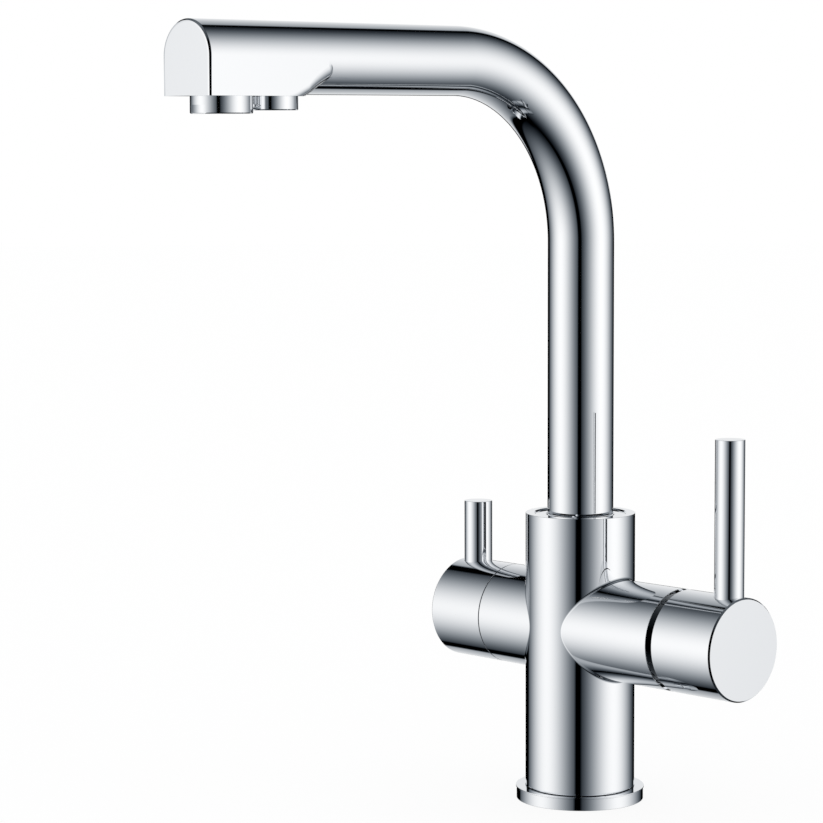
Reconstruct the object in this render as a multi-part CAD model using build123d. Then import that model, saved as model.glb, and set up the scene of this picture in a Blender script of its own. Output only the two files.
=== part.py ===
"""Three way filtered water tap.

Millimetres, +Z up. The origin is on the deck plane, at the axis of the body column.
The mixer lever is on the +X arm, the filtered water knob on the -X arm, and the
spout points to -Y. Heights along an arm are measured from the column's axis.
"""
from build123d import *
import math
import os

# Body column and the ring at its foot
BODY_D = 46.6
BODY_TOP = 123.4
FOOT_SPIGOT_D = 43.0
FOOT_SPIGOT_H = 2.5
BASE_D = 54.2
BASE_LIP_D = 54.9
BASE_LIP_H = 0.9
BASE_H = 5.5
GASKET_D_IN = 46.4
GASKET_D_OUT = 51.0
GASKET_H = 1.2

# The two side arms share one axis
ARM_Z = 75.3
ARM_D = 42.8
MIXER_ARM_END = 56.7
FILTER_ARM_END = 40.1
CREASE_R = 1.5
EDGE_BREAK = 0.4
HANDLE_EDGE = 0.65

# Inlets and the fixing stud in the underside
STUD_HOLE_D = 6.8
STUD_HOLE_DEPTH = 18.0
INLET_D = 9.0
INLET_DEPTH = 12.0
SUPPLY_X = 7.0
SUPPLY_Y = 6.5
FILTERED_INLET_X = -15.5
WATERWAY_D = 5.4
DRILL_PAST = 0.4
OUTLET_RISER_X = 8.6
OUTLET_RISER_D = 4.6
FILTERED_RISER_X = -17.8
FILTERED_RISER_D = 4.0

# Spout seat in the top of the column: the seat's depth is below the top, the spigot's length
# and the chamber's depth are below the seat, and the nose and its bore go on from those
SEAT_BORE_D = 38.4
SEAT_DEPTH = 15.4
INSERT_RECESS = 0.4
INSERT_GAP = 0.35
SLIDE_RING_T = 2.9
UPPER_RING_T = 0.9
FLANGE_D = 33.0
FLANGE_T = 3.0
SPIGOT_D = 22.0
SPIGOT_L = 14.0
CHAMBER_DEPTH = 18.0
NOSE_D = 11.0
NOSE_L = 12.0
NOSE_BORE_DEPTH = 10.0
PLUG_H = 12.0
MIXED_HOLE_D = 3.6
MIXED_HOLE_PCD = 13.2
MIXED_HOLE_COUNT = 6

# O-rings: the groove is a little wider than the section. Two are on the spigot, below the
# seat, and one is on the nose, below the chamber's floor
RING_SECTION = 1.8
NOSE_RING_SECTION = 1.3
RING_ROOM = 0.1
UPPER_RING_DEPTH = 4.5
LOWER_RING_DEPTH = 9.5
NOSE_RING_DEPTH = 4.0

# Clearances
TURNED_FIT = 0.05
FACE_GAP = 0.1

# Spout tube
TUBE_D = 28.0
TUBE_WALL = 1.5
SPOUT_Z = 313.5
BEND_R = 75.0
SPOUT_REACH = 213.0
INNER_TUBE_D = 8.0
INNER_TUBE_BORE = 5.0

# Outlet head: its underside is flat, then a ramp with rolled side edges climbs to a round
# shoulder, where only the tube's round goes on
HEAD_L = 68.0
HEAD_DROP = 14.6
HEAD_FLAT_L = 47.3
RAMP_L = 11.5
RAMP_RISE = 5.9
RAMP_ROLL = 2.9
SHOULDER_R = 4.0
HEAD_EDGE = 0.5
HEAD_END_WALL = 4.0
HEAD_SPIGOT_L = 8.0
WATERWAY_HEAD_D = 21.0
WATERWAY_HEAD_LIFT = 1.5
PORT_DEPTH = 5.0
NIPPLE_D = 13.0
FILTERED_THROAT_D = 6.0

# Main outlet and filtered outlet
MAIN_FROM_END = 16.8
MAIN_D = 23.8
MAIN_DROP = 6.6
MAIN_THREAD_D = 21.8
MAIN_BORE_D = 19.2
MAIN_FLATS = 22.0
MAIN_FLAT_H = 3.3
FILTERED_FROM_END = 41.9
FILTERED_D = 19.8
FILTERED_DROP = 5.3
FILTERED_THREAD_D = 17.8
FILTERED_BORE_D = 15.4
FILTERED_FLATS = 18.2
FILTERED_FLAT_H = 2.2
OUTLET_LIP = 0.9
OUTLET_LIP_H = 1.0
THREAD_STUB_H = 4.6
WASHER_T = 1.5
WASHER_W = 2.2
CELL_PITCH = 2.3
CELL_WEB = 0.5

# Mixer cartridge, heights from the column's axis
CARTRIDGE_SEAT = 20.0
CARTRIDGE_D = 35.0
CARTRIDGE_SHOULDER = 44.0
CARTRIDGE_NECK_D = 28.0
CARTRIDGE_TOP = 55.0
CARTRIDGE_BASE_T = 5.6
BASE_SEAL_T = 1.0
FIXED_DISC_T = 3.6
FIXED_DISC_D = 30.0
MOVING_DISC_D = 23.0
MOVING_DISC_T = 3.4
MIXING_HOLLOW_D = 10.2
MIXING_HOLLOW_L = 3.0
MIXING_HOLLOW_DEPTH = 1.7
LAPPED_GAP = 0.02
CARRIER_T = 3.0
CARRIER_W = 16.0
CARRIER_L = 18.0
CHAMBER_D = 31.2
TURRET_D = 25.0
TURRET_TOP_D = 22.4
TURRET_STEP = 52.0
TURRET_TOP = 56.0
PORT_D = 5.0
SUPPLY_PORT_Z = 4.6
OUTLET_PORT_Z = -4.0
PORT_SEAL_W = 1.2
PIVOT = 47.0
PIVOT_PIN_D = 3.0
PIVOT_PIN_INSET = 1.0
STEM_SQUARE = 8.8
STEM_ARM_D = 4.4
BALL_D = 6.4
BALL_REACH = 11.0
STEM_END = 84.0
LEVER_TILT = 20.0
BALL_PLAY = 0.1
BALL_FLAT_GAP = 0.4
STEM_PLAY = 0.2

# Cartridge nut and the domed cover ring under the lever cap
NUT_BORE_D = 38.0
NUT_BOTTOM_GAP = 0.05
NUT_TOP = 52.0
NUT_SLOT_W = 5.0
NUT_SLOT_DEPTH = 3.0
COVER_NECK_INSET = 1.9
COVER_DOME_GAP = 0.7
COVER_WALL = 1.7
COVER_MOUTH_D = 26.6

# Mixer lever cap
CAP_START = 60.0
CAP_END = 91.2
CAP_SKIRT_WALL = 1.35
CAP_SKIRT_DEPTH = 74.0
CAP_POCKET_D = 36.0
CAP_END_WALL = 3.4
CAP_HUB_D = 22.0
SOCKET_WALL_START = 72.0

# Lever rods
ROD_D = 12.2
ROD_EDGE = 0.25
ROD_SEAT_DEPTH = 3.4
ROD_STUB_D = 6.0
ROD_STUB_L = 4.0
ROD_BOSS_D = 17.0
MIXER_ROD_X = 83.2
MIXER_ROD_TOP = 160.8
FILTER_ROD_X = 61.9
FILTER_ROD_TOP = 122.9

# Set screws that lock each handle on its stem
SCREW_D = 5.0
SCREW_L = 8.0
SCREW_HEX = 2.5
SCREW_HEX_DEPTH = 3.0
SCREW_BOSS_D = 10.0
CAP_SCREW_X = 80.0
KNOB_SCREW_X = 51.5

# Filter valve, heights from the column's axis towards -X
VALVE_BORE_D = 19.9
VALVE_BORE_START = 10.0
VALVE_FLANGE_SEAT = 32.2
VALVE_FLANGE_T = 5.0
VALVE_HEX = 24.0
VALVE_RECESS_D = 34.0
VALVE_NECK_D = 14.0
VALVE_TOP = 44.0
VALVE_CHAMBER_D = 13.4
VALVE_CHAMBER_END = 22.0
VALVE_WINDOW_START = 16.6
VALVE_WINDOW_END = 20.6
VALVE_WINDOW_LAND = 0.5
VALVE_GROOVE_DEPTH = 1.2
VALVE_SEAL_T = 2.0
VALVE_DISC_T = 2.4
SPINDLE_D = 8.0
SPINDLE_END = 57.0
SPLINE_START = 46.0
SPLINE_TEETH = 12
SPLINE_DEPTH = 0.6

# Filtered water knob
KNOB_START = 40.5
KNOB_END = 69.9
KNOB_BORE_D = 38.4
KNOB_END_WALL = 3.2
KNOB_HUB_D = 16.0
KNOB_HUB_START = 46.5


def turned(outline):
    """A solid turned about Z, from (height, radius) points."""
    points = [(radius, 0, height) for height, radius in outline]
    return revolve(make_face(Polyline(*points, close=True)), Axis.Z)


def on_mixer_arm(solid):
    """Lays a solid that was made along +Z on the arm axis towards +X."""
    return Pos(0, 0, ARM_Z) * Rot(0, 90, 0) * solid


def on_filter_arm(solid):
    """Lays a solid that was made along +Z on the arm axis towards -X."""
    return Pos(0, 0, ARM_Z) * Rot(0, -90, 0) * solid


def bar(diameter, low, high):
    """A round bar along Z between two heights."""
    return Pos(0, 0, low) * Cylinder(diameter / 2, high - low, align=(Align.CENTER, Align.CENTER, Align.MIN))


def bar_x(diameter, x_low, x_high, y=0.0, z=ARM_Z):
    """A round bar along X."""
    return Pos(0, y, z) * Rot(0, 90, 0) * bar(diameter, x_low, x_high)


def bar_y(diameter, y_low, y_high, x=0.0, z=SPOUT_Z):
    """A round bar along Y."""
    return Pos(x, 0, z) * Rot(-90, 0, 0) * bar(diameter, y_low, y_high)


def block(x, y, z):
    """A box from three (low, high) pairs."""
    size = [high - low for low, high in (x, y, z)]
    centre = [(high + low) / 2 for low, high in (x, y, z)]
    return Pos(*centre) * Box(*size)


def hex_bar(across_flats, low, high):
    """A hexagonal bar along Z."""
    return Pos(0, 0, low) * extrude(RegularPolygon(across_flats / 2, 6, major_radius=False), high - low)


def seat_floor():
    """Height of the seat that the spout stands on."""
    return BODY_TOP - SEAT_DEPTH


def chamber_floor():
    """Height of the floor of the mixed water's chamber, under the spout's spigot."""
    return seat_floor() - CHAMBER_DEPTH


def nose_bore_floor():
    """Height of the floor of the bore that takes the spout foot's nose."""
    return chamber_floor() - NOSE_BORE_DEPTH


def body_casting():
    """Brass casting: column, both arms, seats for the spout, cartridge and valve, and waterways."""
    column = turned([
        (0, 0), (0, FOOT_SPIGOT_D / 2), (FOOT_SPIGOT_H, FOOT_SPIGOT_D / 2), (FOOT_SPIGOT_H, BODY_D / 2),
        (BODY_TOP - EDGE_BREAK / 2, BODY_D / 2), (BODY_TOP, BODY_D / 2 - EDGE_BREAK / 2), (BODY_TOP, 0)])
    mixer_arm = on_mixer_arm(turned([
        (0, 0), (0, ARM_D / 2), (MIXER_ARM_END - EDGE_BREAK / 2, ARM_D / 2),
        (MIXER_ARM_END, ARM_D / 2 - EDGE_BREAK / 2), (MIXER_ARM_END, 0)]))
    filter_arm = on_filter_arm(bar(ARM_D, 0, FILTER_ARM_END))
    casting = column + mixer_arm + filter_arm
    creases = [edge for edge in casting.edges() if edge.geom_type not in (GeomType.CIRCLE, GeomType.LINE)]
    casting = fillet(creases, CREASE_R)

    casting -= bar(SEAT_BORE_D, seat_floor(), BODY_TOP)
    casting -= bar(SPIGOT_D + 2 * TURNED_FIT, chamber_floor(), seat_floor())
    casting -= bar(NOSE_D + 2 * TURNED_FIT, nose_bore_floor(), chamber_floor())

    casting -= bar_x(CARTRIDGE_D + 4 * TURNED_FIT, CARTRIDGE_SEAT, MIXER_ARM_END)
    casting -= bar_x(NUT_BORE_D, CARTRIDGE_SHOULDER, MIXER_ARM_END)
    casting -= bar_x(VALVE_BORE_D, -FILTER_ARM_END, -VALVE_BORE_START)
    casting -= bar_x(VALVE_RECESS_D, -FILTER_ARM_END, -VALVE_FLANGE_SEAT)
    return casting - waterways() - underside_holes()


def waterways():
    """Drilled passages from the inlets to the valves, and from the valves to the spout seat."""
    supply_z = ARM_Z + SUPPLY_PORT_Z
    outlet_z = ARM_Z + OUTLET_PORT_Z
    past = PORT_D / 2 + DRILL_PAST
    drillings = bar(WATERWAY_D, ARM_Z, nose_bore_floor())
    drillings += bar_x(WATERWAY_D + DRILL_PAST, -VALVE_BORE_START, 0)
    drillings += bar_x(PORT_D, OUTLET_RISER_X, CARTRIDGE_SEAT, z=outlet_z)
    drillings += Pos(OUTLET_RISER_X, 0, 0) * bar(OUTLET_RISER_D, outlet_z - past, chamber_floor())
    for side in (-1, 1):
        drillings += Pos(SUPPLY_X, side * SUPPLY_Y, 0) * bar(WATERWAY_D, INLET_DEPTH, supply_z + past)
        drillings += bar_x(PORT_D, SUPPLY_X, CARTRIDGE_SEAT, y=side * SUPPLY_Y, z=supply_z)
    riser_top = ARM_Z - VALVE_BORE_D / 2 + FILTERED_RISER_D / 2
    drillings += Pos(FILTERED_RISER_X, 0, 0) * bar(FILTERED_RISER_D, INLET_DEPTH, riser_top)
    return drillings


def underside_holes():
    """Tapped holes in the underside: two supply inlets, the filtered inlet and the fixing stud."""
    holes = bar(STUD_HOLE_D, 0, STUD_HOLE_DEPTH)
    for x, y in ((SUPPLY_X, -SUPPLY_Y), (SUPPLY_X, SUPPLY_Y), (FILTERED_INLET_X, 0)):
        holes += Pos(x, y, 0) * bar(INLET_D, 0, INLET_DEPTH)
    return holes


def base_ring():
    """Turned ring that the column's shoulder clamps to the deck, with a groove for the gasket."""
    ring = turned([
        (0, FOOT_SPIGOT_D / 2 + TURNED_FIT), (0, BASE_D / 2), (BASE_H - BASE_LIP_H, BASE_D / 2),
        (BASE_H - BASE_LIP_H / 2, BASE_LIP_D / 2), (BASE_H - BASE_LIP_H / 4, BASE_LIP_D / 2),
        (BASE_H, BASE_LIP_D / 2 - BASE_LIP_H / 4), (BASE_H, BODY_D / 2 + TURNED_FIT),
        (FOOT_SPIGOT_H, BODY_D / 2 + TURNED_FIT), (FOOT_SPIGOT_H, FOOT_SPIGOT_D / 2 + TURNED_FIT)])
    return ring - (bar(GASKET_D_OUT, 0, GASKET_H) - bar(GASKET_D_IN, 0, GASKET_H))


def base_gasket():
    """Flat rubber gasket in the ring's groove."""
    outer = bar(GASKET_D_OUT - 2 * TURNED_FIT, 0, GASKET_H)
    return outer - bar(GASKET_D_IN + 2 * TURNED_FIT, 0, GASKET_H)


def flange_bottom():
    """Height of the spout flange's underside, which runs on the lower slide ring."""
    return seat_floor() + SLIDE_RING_T + FACE_GAP


def flange_top():
    """Height of the spout flange's top, where the tube ends."""
    return flange_bottom() + FLANGE_T


def insert_bottom():
    """Height of the insert ring's underside, which holds the upper slide ring down."""
    return flange_top() + 2 * FACE_GAP + UPPER_RING_T


def lower_slide_ring():
    """Plastic ring that carries the spout's flange."""
    bottom = seat_floor()
    ring = bar(SEAT_BORE_D - 4 * TURNED_FIT, bottom, bottom + SLIDE_RING_T)
    return ring - bar(SPIGOT_D + 4 * TURNED_FIT, bottom, bottom + SLIDE_RING_T)


def upper_slide_ring():
    """Thin plastic ring between the spout's flange and the insert ring."""
    bottom = insert_bottom() - UPPER_RING_T
    ring = bar(SEAT_BORE_D - 4 * TURNED_FIT, bottom, insert_bottom())
    return ring - bar(TUBE_D + 2 * INSERT_GAP, bottom, insert_bottom())


def insert_ring():
    """Chromed ring screwed into the column's mouth, which keeps the spout down."""
    top = BODY_TOP - INSERT_RECESS
    outer = SEAT_BORE_D / 2 - TURNED_FIT
    inner = TUBE_D / 2 + INSERT_GAP
    return turned([
        (insert_bottom(), inner), (insert_bottom(), outer), (top - EDGE_BREAK / 2, outer),
        (top, outer - EDGE_BREAK / 2), (top, inner + EDGE_BREAK / 2), (top - EDGE_BREAK / 2, inner)])


def ring_places():
    """The spigot or nose diameter, the section and the height of each O-ring."""
    return (
        (SPIGOT_D, RING_SECTION, seat_floor() - UPPER_RING_DEPTH),
        (SPIGOT_D, RING_SECTION, seat_floor() - LOWER_RING_DEPTH),
        (NOSE_D, NOSE_RING_SECTION, chamber_floor() - NOSE_RING_DEPTH))


def ring_groove(diameter, section, height):
    """The space that an O-ring's groove takes out of a spigot."""
    half = section / 2 + RING_ROOM
    outer = bar(diameter + section, height - half, height + half)
    return outer - bar(diameter - 2 * (section + RING_ROOM) + 2 * TURNED_FIT, height - half, height + half)


def o_ring(diameter, section, height):
    """An O-ring whose outside just clears the bore round a spigot of this diameter."""
    outside = diameter / 2 + TURNED_FIT / 2
    return Pos(0, 0, height) * Torus(outside - section / 2, section / 2)


def spout_foot():
    """Turned brass foot: plug in the tube, flange, sealed spigot and the filtered water nose."""
    top = flange_top() + PLUG_H
    plug_d = TUBE_D - 2 * TUBE_WALL - 2 * TURNED_FIT
    foot = bar(plug_d, flange_top(), top)
    foot += bar(FLANGE_D, flange_bottom(), flange_top())
    spigot_bottom = seat_floor() - SPIGOT_L
    nose_bottom = spigot_bottom - NOSE_L
    foot += bar(SPIGOT_D, spigot_bottom, flange_bottom())
    foot += bar(NOSE_D, nose_bottom, spigot_bottom)
    for diameter, section, height in ring_places():
        foot -= ring_groove(diameter, section, height)
    foot -= bar(INNER_TUBE_D + 2 * TURNED_FIT, chamber_floor(), top)
    foot -= bar(INNER_TUBE_BORE, nose_bottom, chamber_floor())
    for place in PolarLocations(MIXED_HOLE_PCD / 2, MIXED_HOLE_COUNT):
        foot -= place * bar(MIXED_HOLE_D, spigot_bottom, top)
    return foot


def spout_o_rings():
    """The three O-rings on the foot's spigot and nose."""
    return Compound(children=[o_ring(*place) for place in ring_places()])


def spout_path(start_z, end_y):
    """The spout's centre line: up the column's axis, round the bend and out towards -Y."""
    bend_z = SPOUT_Z - BEND_R
    halfway = math.sqrt(0.5) * BEND_R
    riser = Line((0, 0, start_z), (0, 0, bend_z))
    bend = ThreePointArc(riser @ 1, (0, halfway - BEND_R, bend_z + halfway), (0, -BEND_R, SPOUT_Z))
    run = Line(bend @ 1, (0, end_y, SPOUT_Z))
    return riser + bend + run


def pipe(path, outer, inner):
    """A round tube swept along a path that starts upwards."""
    section = Plane(origin=path @ 0, z_dir=(0, 0, 1)) * (Circle(outer / 2) - Circle(inner / 2))
    return sweep(section, path=path)


def head_rear_y():
    """Where the tube ends and the outlet head begins."""
    return -(SPOUT_REACH - HEAD_L)


def spout_tube():
    """Bent brass tube from the foot's flange to the outlet head."""
    return pipe(spout_path(flange_top(), head_rear_y()), TUBE_D, TUBE_D - 2 * TUBE_WALL)


def outlet_place(from_end):
    """A location on the head's flat underside."""
    return Pos(0, -(SPOUT_REACH - from_end), SPOUT_Z - HEAD_DROP)


def head_prism():
    """The head's D section, round above and straight sided below."""
    half = TUBE_D / 2
    crown = ThreePointArc((-half, 0), (0, half), (half, 0))
    sides = Polyline((half, 0), (half, -HEAD_DROP), (-half, -HEAD_DROP), (-half, 0))
    section = Plane(origin=(0, -SPOUT_REACH, SPOUT_Z), x_dir=(-1, 0, 0), z_dir=(0, 1, 0))
    return extrude(section * make_face(crown + sides), HEAD_L)


def ramp_slab():
    """A slab as wide as the head, which ends at the ramp and the shoulder, with rolled side edges."""
    front = -SPOUT_REACH - TUBE_D
    top = SPOUT_Z + TUBE_D
    slope = math.atan2(RAMP_RISE, RAMP_L)
    ramp_y, ramp_z = HEAD_FLAT_L + RAMP_L - SPOUT_REACH, SPOUT_Z - HEAD_DROP + RAMP_RISE
    low_y, low_z = ramp_y - HEAD_FLAT_L, ramp_z - HEAD_FLAT_L * math.tan(slope)
    rear_y, rear_z = ramp_y + SHOULDER_R * (1 - math.sin(slope)), ramp_z + SHOULDER_R * math.cos(slope)
    ramp = Line((0, low_y, low_z), (0, ramp_y, ramp_z))
    shoulder = TangentArc(ramp @ 1, (0, rear_y, rear_z), tangent=ramp % 1)
    rest = Polyline(
        (0, rear_y, rear_z), (0, rear_y, top), (0, front, top), (0, front, low_z), (0, low_y, low_z))
    slab = extrude(make_face(ramp + shoulder + rest), TUBE_D / 2, both=True)
    rolled = [edge for edge in slab.edges() if abs(edge.center().X) > TUBE_D / 4 and edge.center().Y > low_y]
    return fillet(rolled, RAMP_ROLL)


def outlet_head():
    """Cast head: round above, flat below, with both outlet ports and the filtered nipple."""
    end = -SPOUT_REACH
    head = (head_prism() & ramp_slab()) + bar_y(TUBE_D, end + HEAD_FLAT_L, head_rear_y())
    head = chamfer(head.faces().sort_by(Axis.Y)[0].edges(), HEAD_EDGE)
    hollow = bar_y(WATERWAY_HEAD_D, end + HEAD_END_WALL, head_rear_y(), z=SPOUT_Z + WATERWAY_HEAD_LIFT)
    nipple = outlet_place(FILTERED_FROM_END) * bar(NIPPLE_D, PORT_DEPTH, HEAD_DROP + INNER_TUBE_D)
    head = head - (hollow - nipple)

    main = outlet_place(MAIN_FROM_END)
    head -= main * bar(MAIN_THREAD_D + 2 * TURNED_FIT, 0, PORT_DEPTH)
    head -= main * bar(MAIN_BORE_D - 2 * WASHER_W, PORT_DEPTH, HEAD_DROP)
    filtered = outlet_place(FILTERED_FROM_END)
    head -= filtered * bar(FILTERED_THREAD_D + 2 * TURNED_FIT, 0, PORT_DEPTH)
    head -= filtered * bar(FILTERED_THROAT_D, PORT_DEPTH, HEAD_DROP + FILTERED_THROAT_D / 2)
    head -= bar_y(INNER_TUBE_D + 2 * TURNED_FIT, inner_tube_end_y(), head_rear_y())
    head -= bar_y(INNER_TUBE_BORE, inner_tube_end_y() - FILTERED_THROAT_D / 2, inner_tube_end_y())
    return head + head_spigot()


def head_spigot():
    """Short sleeve inside the tube's end, which centres the head on the tube."""
    start = head_rear_y()
    outer = TUBE_D - 2 * TUBE_WALL - 2 * TURNED_FIT
    return bar_y(outer, start, start + HEAD_SPIGOT_L) - bar_y(WATERWAY_HEAD_D, start, start + HEAD_SPIGOT_L)


def inner_tube_end_y():
    """Where the filtered water tube stops inside the head's nipple, just short of its throat."""
    return -(SPOUT_REACH - FILTERED_FROM_END) + FILTERED_THROAT_D / 2 + 10 * FACE_GAP


def filtered_water_tube():
    """Plastic tube that keeps the filtered water apart, all the way through the spout."""
    path = spout_path(chamber_floor(), inner_tube_end_y())
    return pipe(path, INNER_TUBE_D, INNER_TUBE_BORE)


def outlet_housing(diameter, drop, thread_d, bore_d, flats, flat_h):
    """Chromed outlet nozzle, hanging from z=0: threaded stub above, two spanner flats below."""
    nozzle = turned([
        (-drop, 0), (-drop, diameter / 2 - EDGE_BREAK), (-drop + EDGE_BREAK, diameter / 2),
        (0, diameter / 2), (0, thread_d / 2), (THREAD_STUB_H, thread_d / 2), (THREAD_STUB_H, 0)])
    nozzle -= bar(bore_d, -drop + OUTLET_LIP_H, THREAD_STUB_H)
    nozzle -= bar(bore_d - 2 * OUTLET_LIP, -drop, -drop + OUTLET_LIP_H)
    for side in (-1, 1):
        near, far = sorted((side * flats / 2, side * diameter))
        nozzle -= block((-diameter, diameter), (near, far), (-drop, -drop + flat_h))
    return nozzle


def insert_top():
    """Height of an outlet insert's top, under its washer."""
    return PORT_DEPTH - WASHER_T - TURNED_FIT


def outlet_insert(bore_d, drop):
    """Plastic flow straightener with a honeycomb of cells, resting on the nozzle's lip."""
    bottom = -drop + OUTLET_LIP_H
    disc = bar(bore_d - 2 * TURNED_FIT, bottom, insert_top())
    cell = RegularPolygon((CELL_PITCH - CELL_WEB) / 2, 6, major_radius=False)
    reach = bore_d / 2 - OUTLET_LIP - CELL_PITCH / 2
    row_pitch = CELL_PITCH * math.sin(math.radians(60))
    rows = int(reach / row_pitch)
    cells = []
    for row in range(-rows, rows + 1):
        for column in range(-rows - 1, rows + 2):
            x = (column + (row % 2) / 2) * CELL_PITCH
            y = row * row_pitch
            if math.hypot(x, y) <= reach:
                cells.append(Pos(x, y, bottom) * extrude(Rot(0, 0, 30) * cell, insert_top() - bottom))
    return disc - cells


def outlet_washer(bore_d):
    """Rubber washer between the insert and the head's port."""
    low, high = insert_top() + TURNED_FIT, PORT_DEPTH
    return bar(bore_d - 2 * TURNED_FIT, low, high) - bar(bore_d - 2 * WASHER_W, low, high)


def port_places():
    """Where the two supply ports and the mixed outlet lie on the arm's cross section."""
    return ((-SUPPLY_Y, ARM_Z + SUPPLY_PORT_Z), (SUPPLY_Y, ARM_Z + SUPPLY_PORT_Z), (0, ARM_Z + OUTLET_PORT_Z))


def port_bars(diameter, low, high):
    """A bar along the mixer arm at each port."""
    return [bar_x(diameter, low, high, y=y, z=z) for y, z in port_places()]


def base_plate_end():
    """Where the cartridge's base plate ends and the fixed disc begins."""
    return CARTRIDGE_SEAT + BASE_SEAL_T + CARTRIDGE_BASE_T


def disc_face():
    """The lapped face between the two ceramic discs."""
    return base_plate_end() + FIXED_DISC_T


def moving_disc_start():
    """The moving disc's lapped face."""
    return disc_face() + LAPPED_GAP


def carrier_start():
    """Where the disc carrier sits on the moving disc."""
    return moving_disc_start() + MOVING_DISC_T


def carrier_end():
    """The carrier's face towards the turret."""
    return carrier_start() + CARRIER_T


def cartridge_seals():
    """Three rubber rings between the cartridge's ports and the casting's seat."""
    low, high = CARTRIDGE_SEAT, CARTRIDGE_SEAT + BASE_SEAL_T
    outsides = port_bars(PORT_D + 2 * PORT_SEAL_W, low, high)
    return Compound(children=[
        outside - bore for outside, bore in zip(outsides, port_bars(PORT_D, low, high))])


def cartridge_base():
    """Plastic base plate of the cartridge, with its three ports."""
    low, high = CARTRIDGE_SEAT + BASE_SEAL_T, base_plate_end()
    return bar_x(CHAMBER_D - 4 * TURNED_FIT, low, high) - port_bars(PORT_D, low, high)


def fixed_ceramic_disc():
    """Lapped ceramic disc with the three ports, held in the cartridge's base."""
    low, high = base_plate_end(), disc_face()
    return bar_x(FIXED_DISC_D, low, high) - port_bars(PORT_D, low, high)


def cartridge_housing():
    """Plastic shell of the cartridge: skirt, shoulder and the neck that holds the turret."""
    outer, chamber = CARTRIDGE_D / 2, CHAMBER_D / 2
    neck = CARTRIDGE_NECK_D / 2
    turret, mouth = TURRET_D / 2 + TURNED_FIT, TURRET_TOP_D / 2 + TURNED_FIT
    step = TURRET_STEP + FACE_GAP
    shell = turned([
        (CARTRIDGE_SEAT, chamber), (CARTRIDGE_SEAT, outer), (CARTRIDGE_SHOULDER, outer),
        (CARTRIDGE_SHOULDER, neck), (CARTRIDGE_TOP, neck), (CARTRIDGE_TOP, mouth), (step, mouth),
        (step, turret), (carrier_end() + FACE_GAP, turret), (carrier_end() + FACE_GAP, chamber)])
    return on_mixer_arm(shell)


def cartridge_turret():
    """Plastic turret: turns in the housing's neck and carries the stem's pivot pin."""
    start = carrier_end() + 2 * FACE_GAP
    turret = bar_x(TURRET_D, start, TURRET_STEP) + bar_x(TURRET_TOP_D, TURRET_STEP, TURRET_TOP)
    swing = math.sin(math.radians(LEVER_TILT))
    low = (TURRET_TOP - PIVOT) * swing / math.cos(math.radians(LEVER_TILT)) + STEM_SQUARE / 2 + 2 * STEM_PLAY
    high = BALL_REACH * swing + BALL_D / 2 + STEM_PLAY
    side = STEM_SQUARE / 2 + STEM_PLAY / 2
    slot = block((start, TURRET_TOP), (-side, side), (ARM_Z - low, ARM_Z + high))
    pin_hole = Pos(PIVOT, 0, ARM_Z) * bar_y(PIVOT_PIN_D + 2 * TURNED_FIT, -TURRET_D, TURRET_D, z=0)
    return turret - slot - pin_hole


def pivot_pin():
    """Steel pin across the turret, on which the stem tilts."""
    half = TURRET_D / 2 - PIVOT_PIN_INSET
    return Pos(PIVOT, 0, ARM_Z) * bar_y(PIVOT_PIN_D, -half, half, z=0)


def moving_ceramic_disc():
    """Lapped disc that slides over the ports; its long hollow joins them when the lever tilts."""
    start = moving_disc_start()
    disc = bar_x(MOVING_DISC_D, start, start + MOVING_DISC_T)
    hollow_end = start + MIXING_HOLLOW_DEPTH
    for drop in (0, MIXING_HOLLOW_L):
        disc -= bar_x(MIXING_HOLLOW_D, start, hollow_end, z=ARM_Z - drop)
    half = MIXING_HOLLOW_D / 2
    return disc - block((start, hollow_end), (-half, half), (ARM_Z - MIXING_HOLLOW_L, ARM_Z))


def disc_carrier():
    """Plastic block clipped to the moving disc; the stem's ball works in its socket."""
    start, end = carrier_start(), carrier_end()
    half_w, half_l = CARRIER_W / 2, CARRIER_L / 2
    carrier = block((start, end), (-half_w, half_w), (ARM_Z - half_l, ARM_Z + half_l))
    return carrier - bar_x(BALL_D + 2 * BALL_PLAY, start, end)


def mixer_stem():
    """Stem of the cartridge: ball end, arm, pivot eye and the square that takes the lever cap."""
    arm = bar_x(STEM_ARM_D, PIVOT - BALL_REACH, PIVOT)
    ball = Pos(PIVOT - BALL_REACH, 0, ARM_Z) * Sphere(BALL_D / 2)
    half = STEM_SQUARE / 2
    square = block((PIVOT - half, STEM_END), (-half, half), (ARM_Z - half, ARM_Z + half))
    flat = carrier_start() + BALL_FLAT_GAP
    kept = block((flat, STEM_END), (-BALL_D, BALL_D), (ARM_Z - BALL_D, ARM_Z + BALL_D))
    stem = arm + (ball & kept) + square
    return stem - Pos(PIVOT, 0, ARM_Z) * bar_y(PIVOT_PIN_D + 2 * TURNED_FIT, -half, half, z=0)


def cartridge_nut():
    """Brass ring nut that presses on the cartridge's shoulder, with four tool slots."""
    low = CARTRIDGE_SHOULDER + NUT_BOTTOM_GAP
    outer = NUT_BORE_D / 2 - TURNED_FIT
    inner = CARTRIDGE_NECK_D / 2 + 4 * TURNED_FIT
    nut = turned([(low, inner), (low, outer), (NUT_TOP, outer), (NUT_TOP, inner)])
    for turn in (0, 90):
        slot = Box(3 * outer, NUT_SLOT_W, 2 * NUT_SLOT_DEPTH)
        nut -= Pos(0, 0, NUT_TOP) * Rot(0, 0, turn) * slot
    return on_mixer_arm(nut)


def skirt_bore():
    """Diameter of the bore in the lever cap's skirt."""
    return ARM_D - 2 * CAP_SKIRT_WALL


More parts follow.
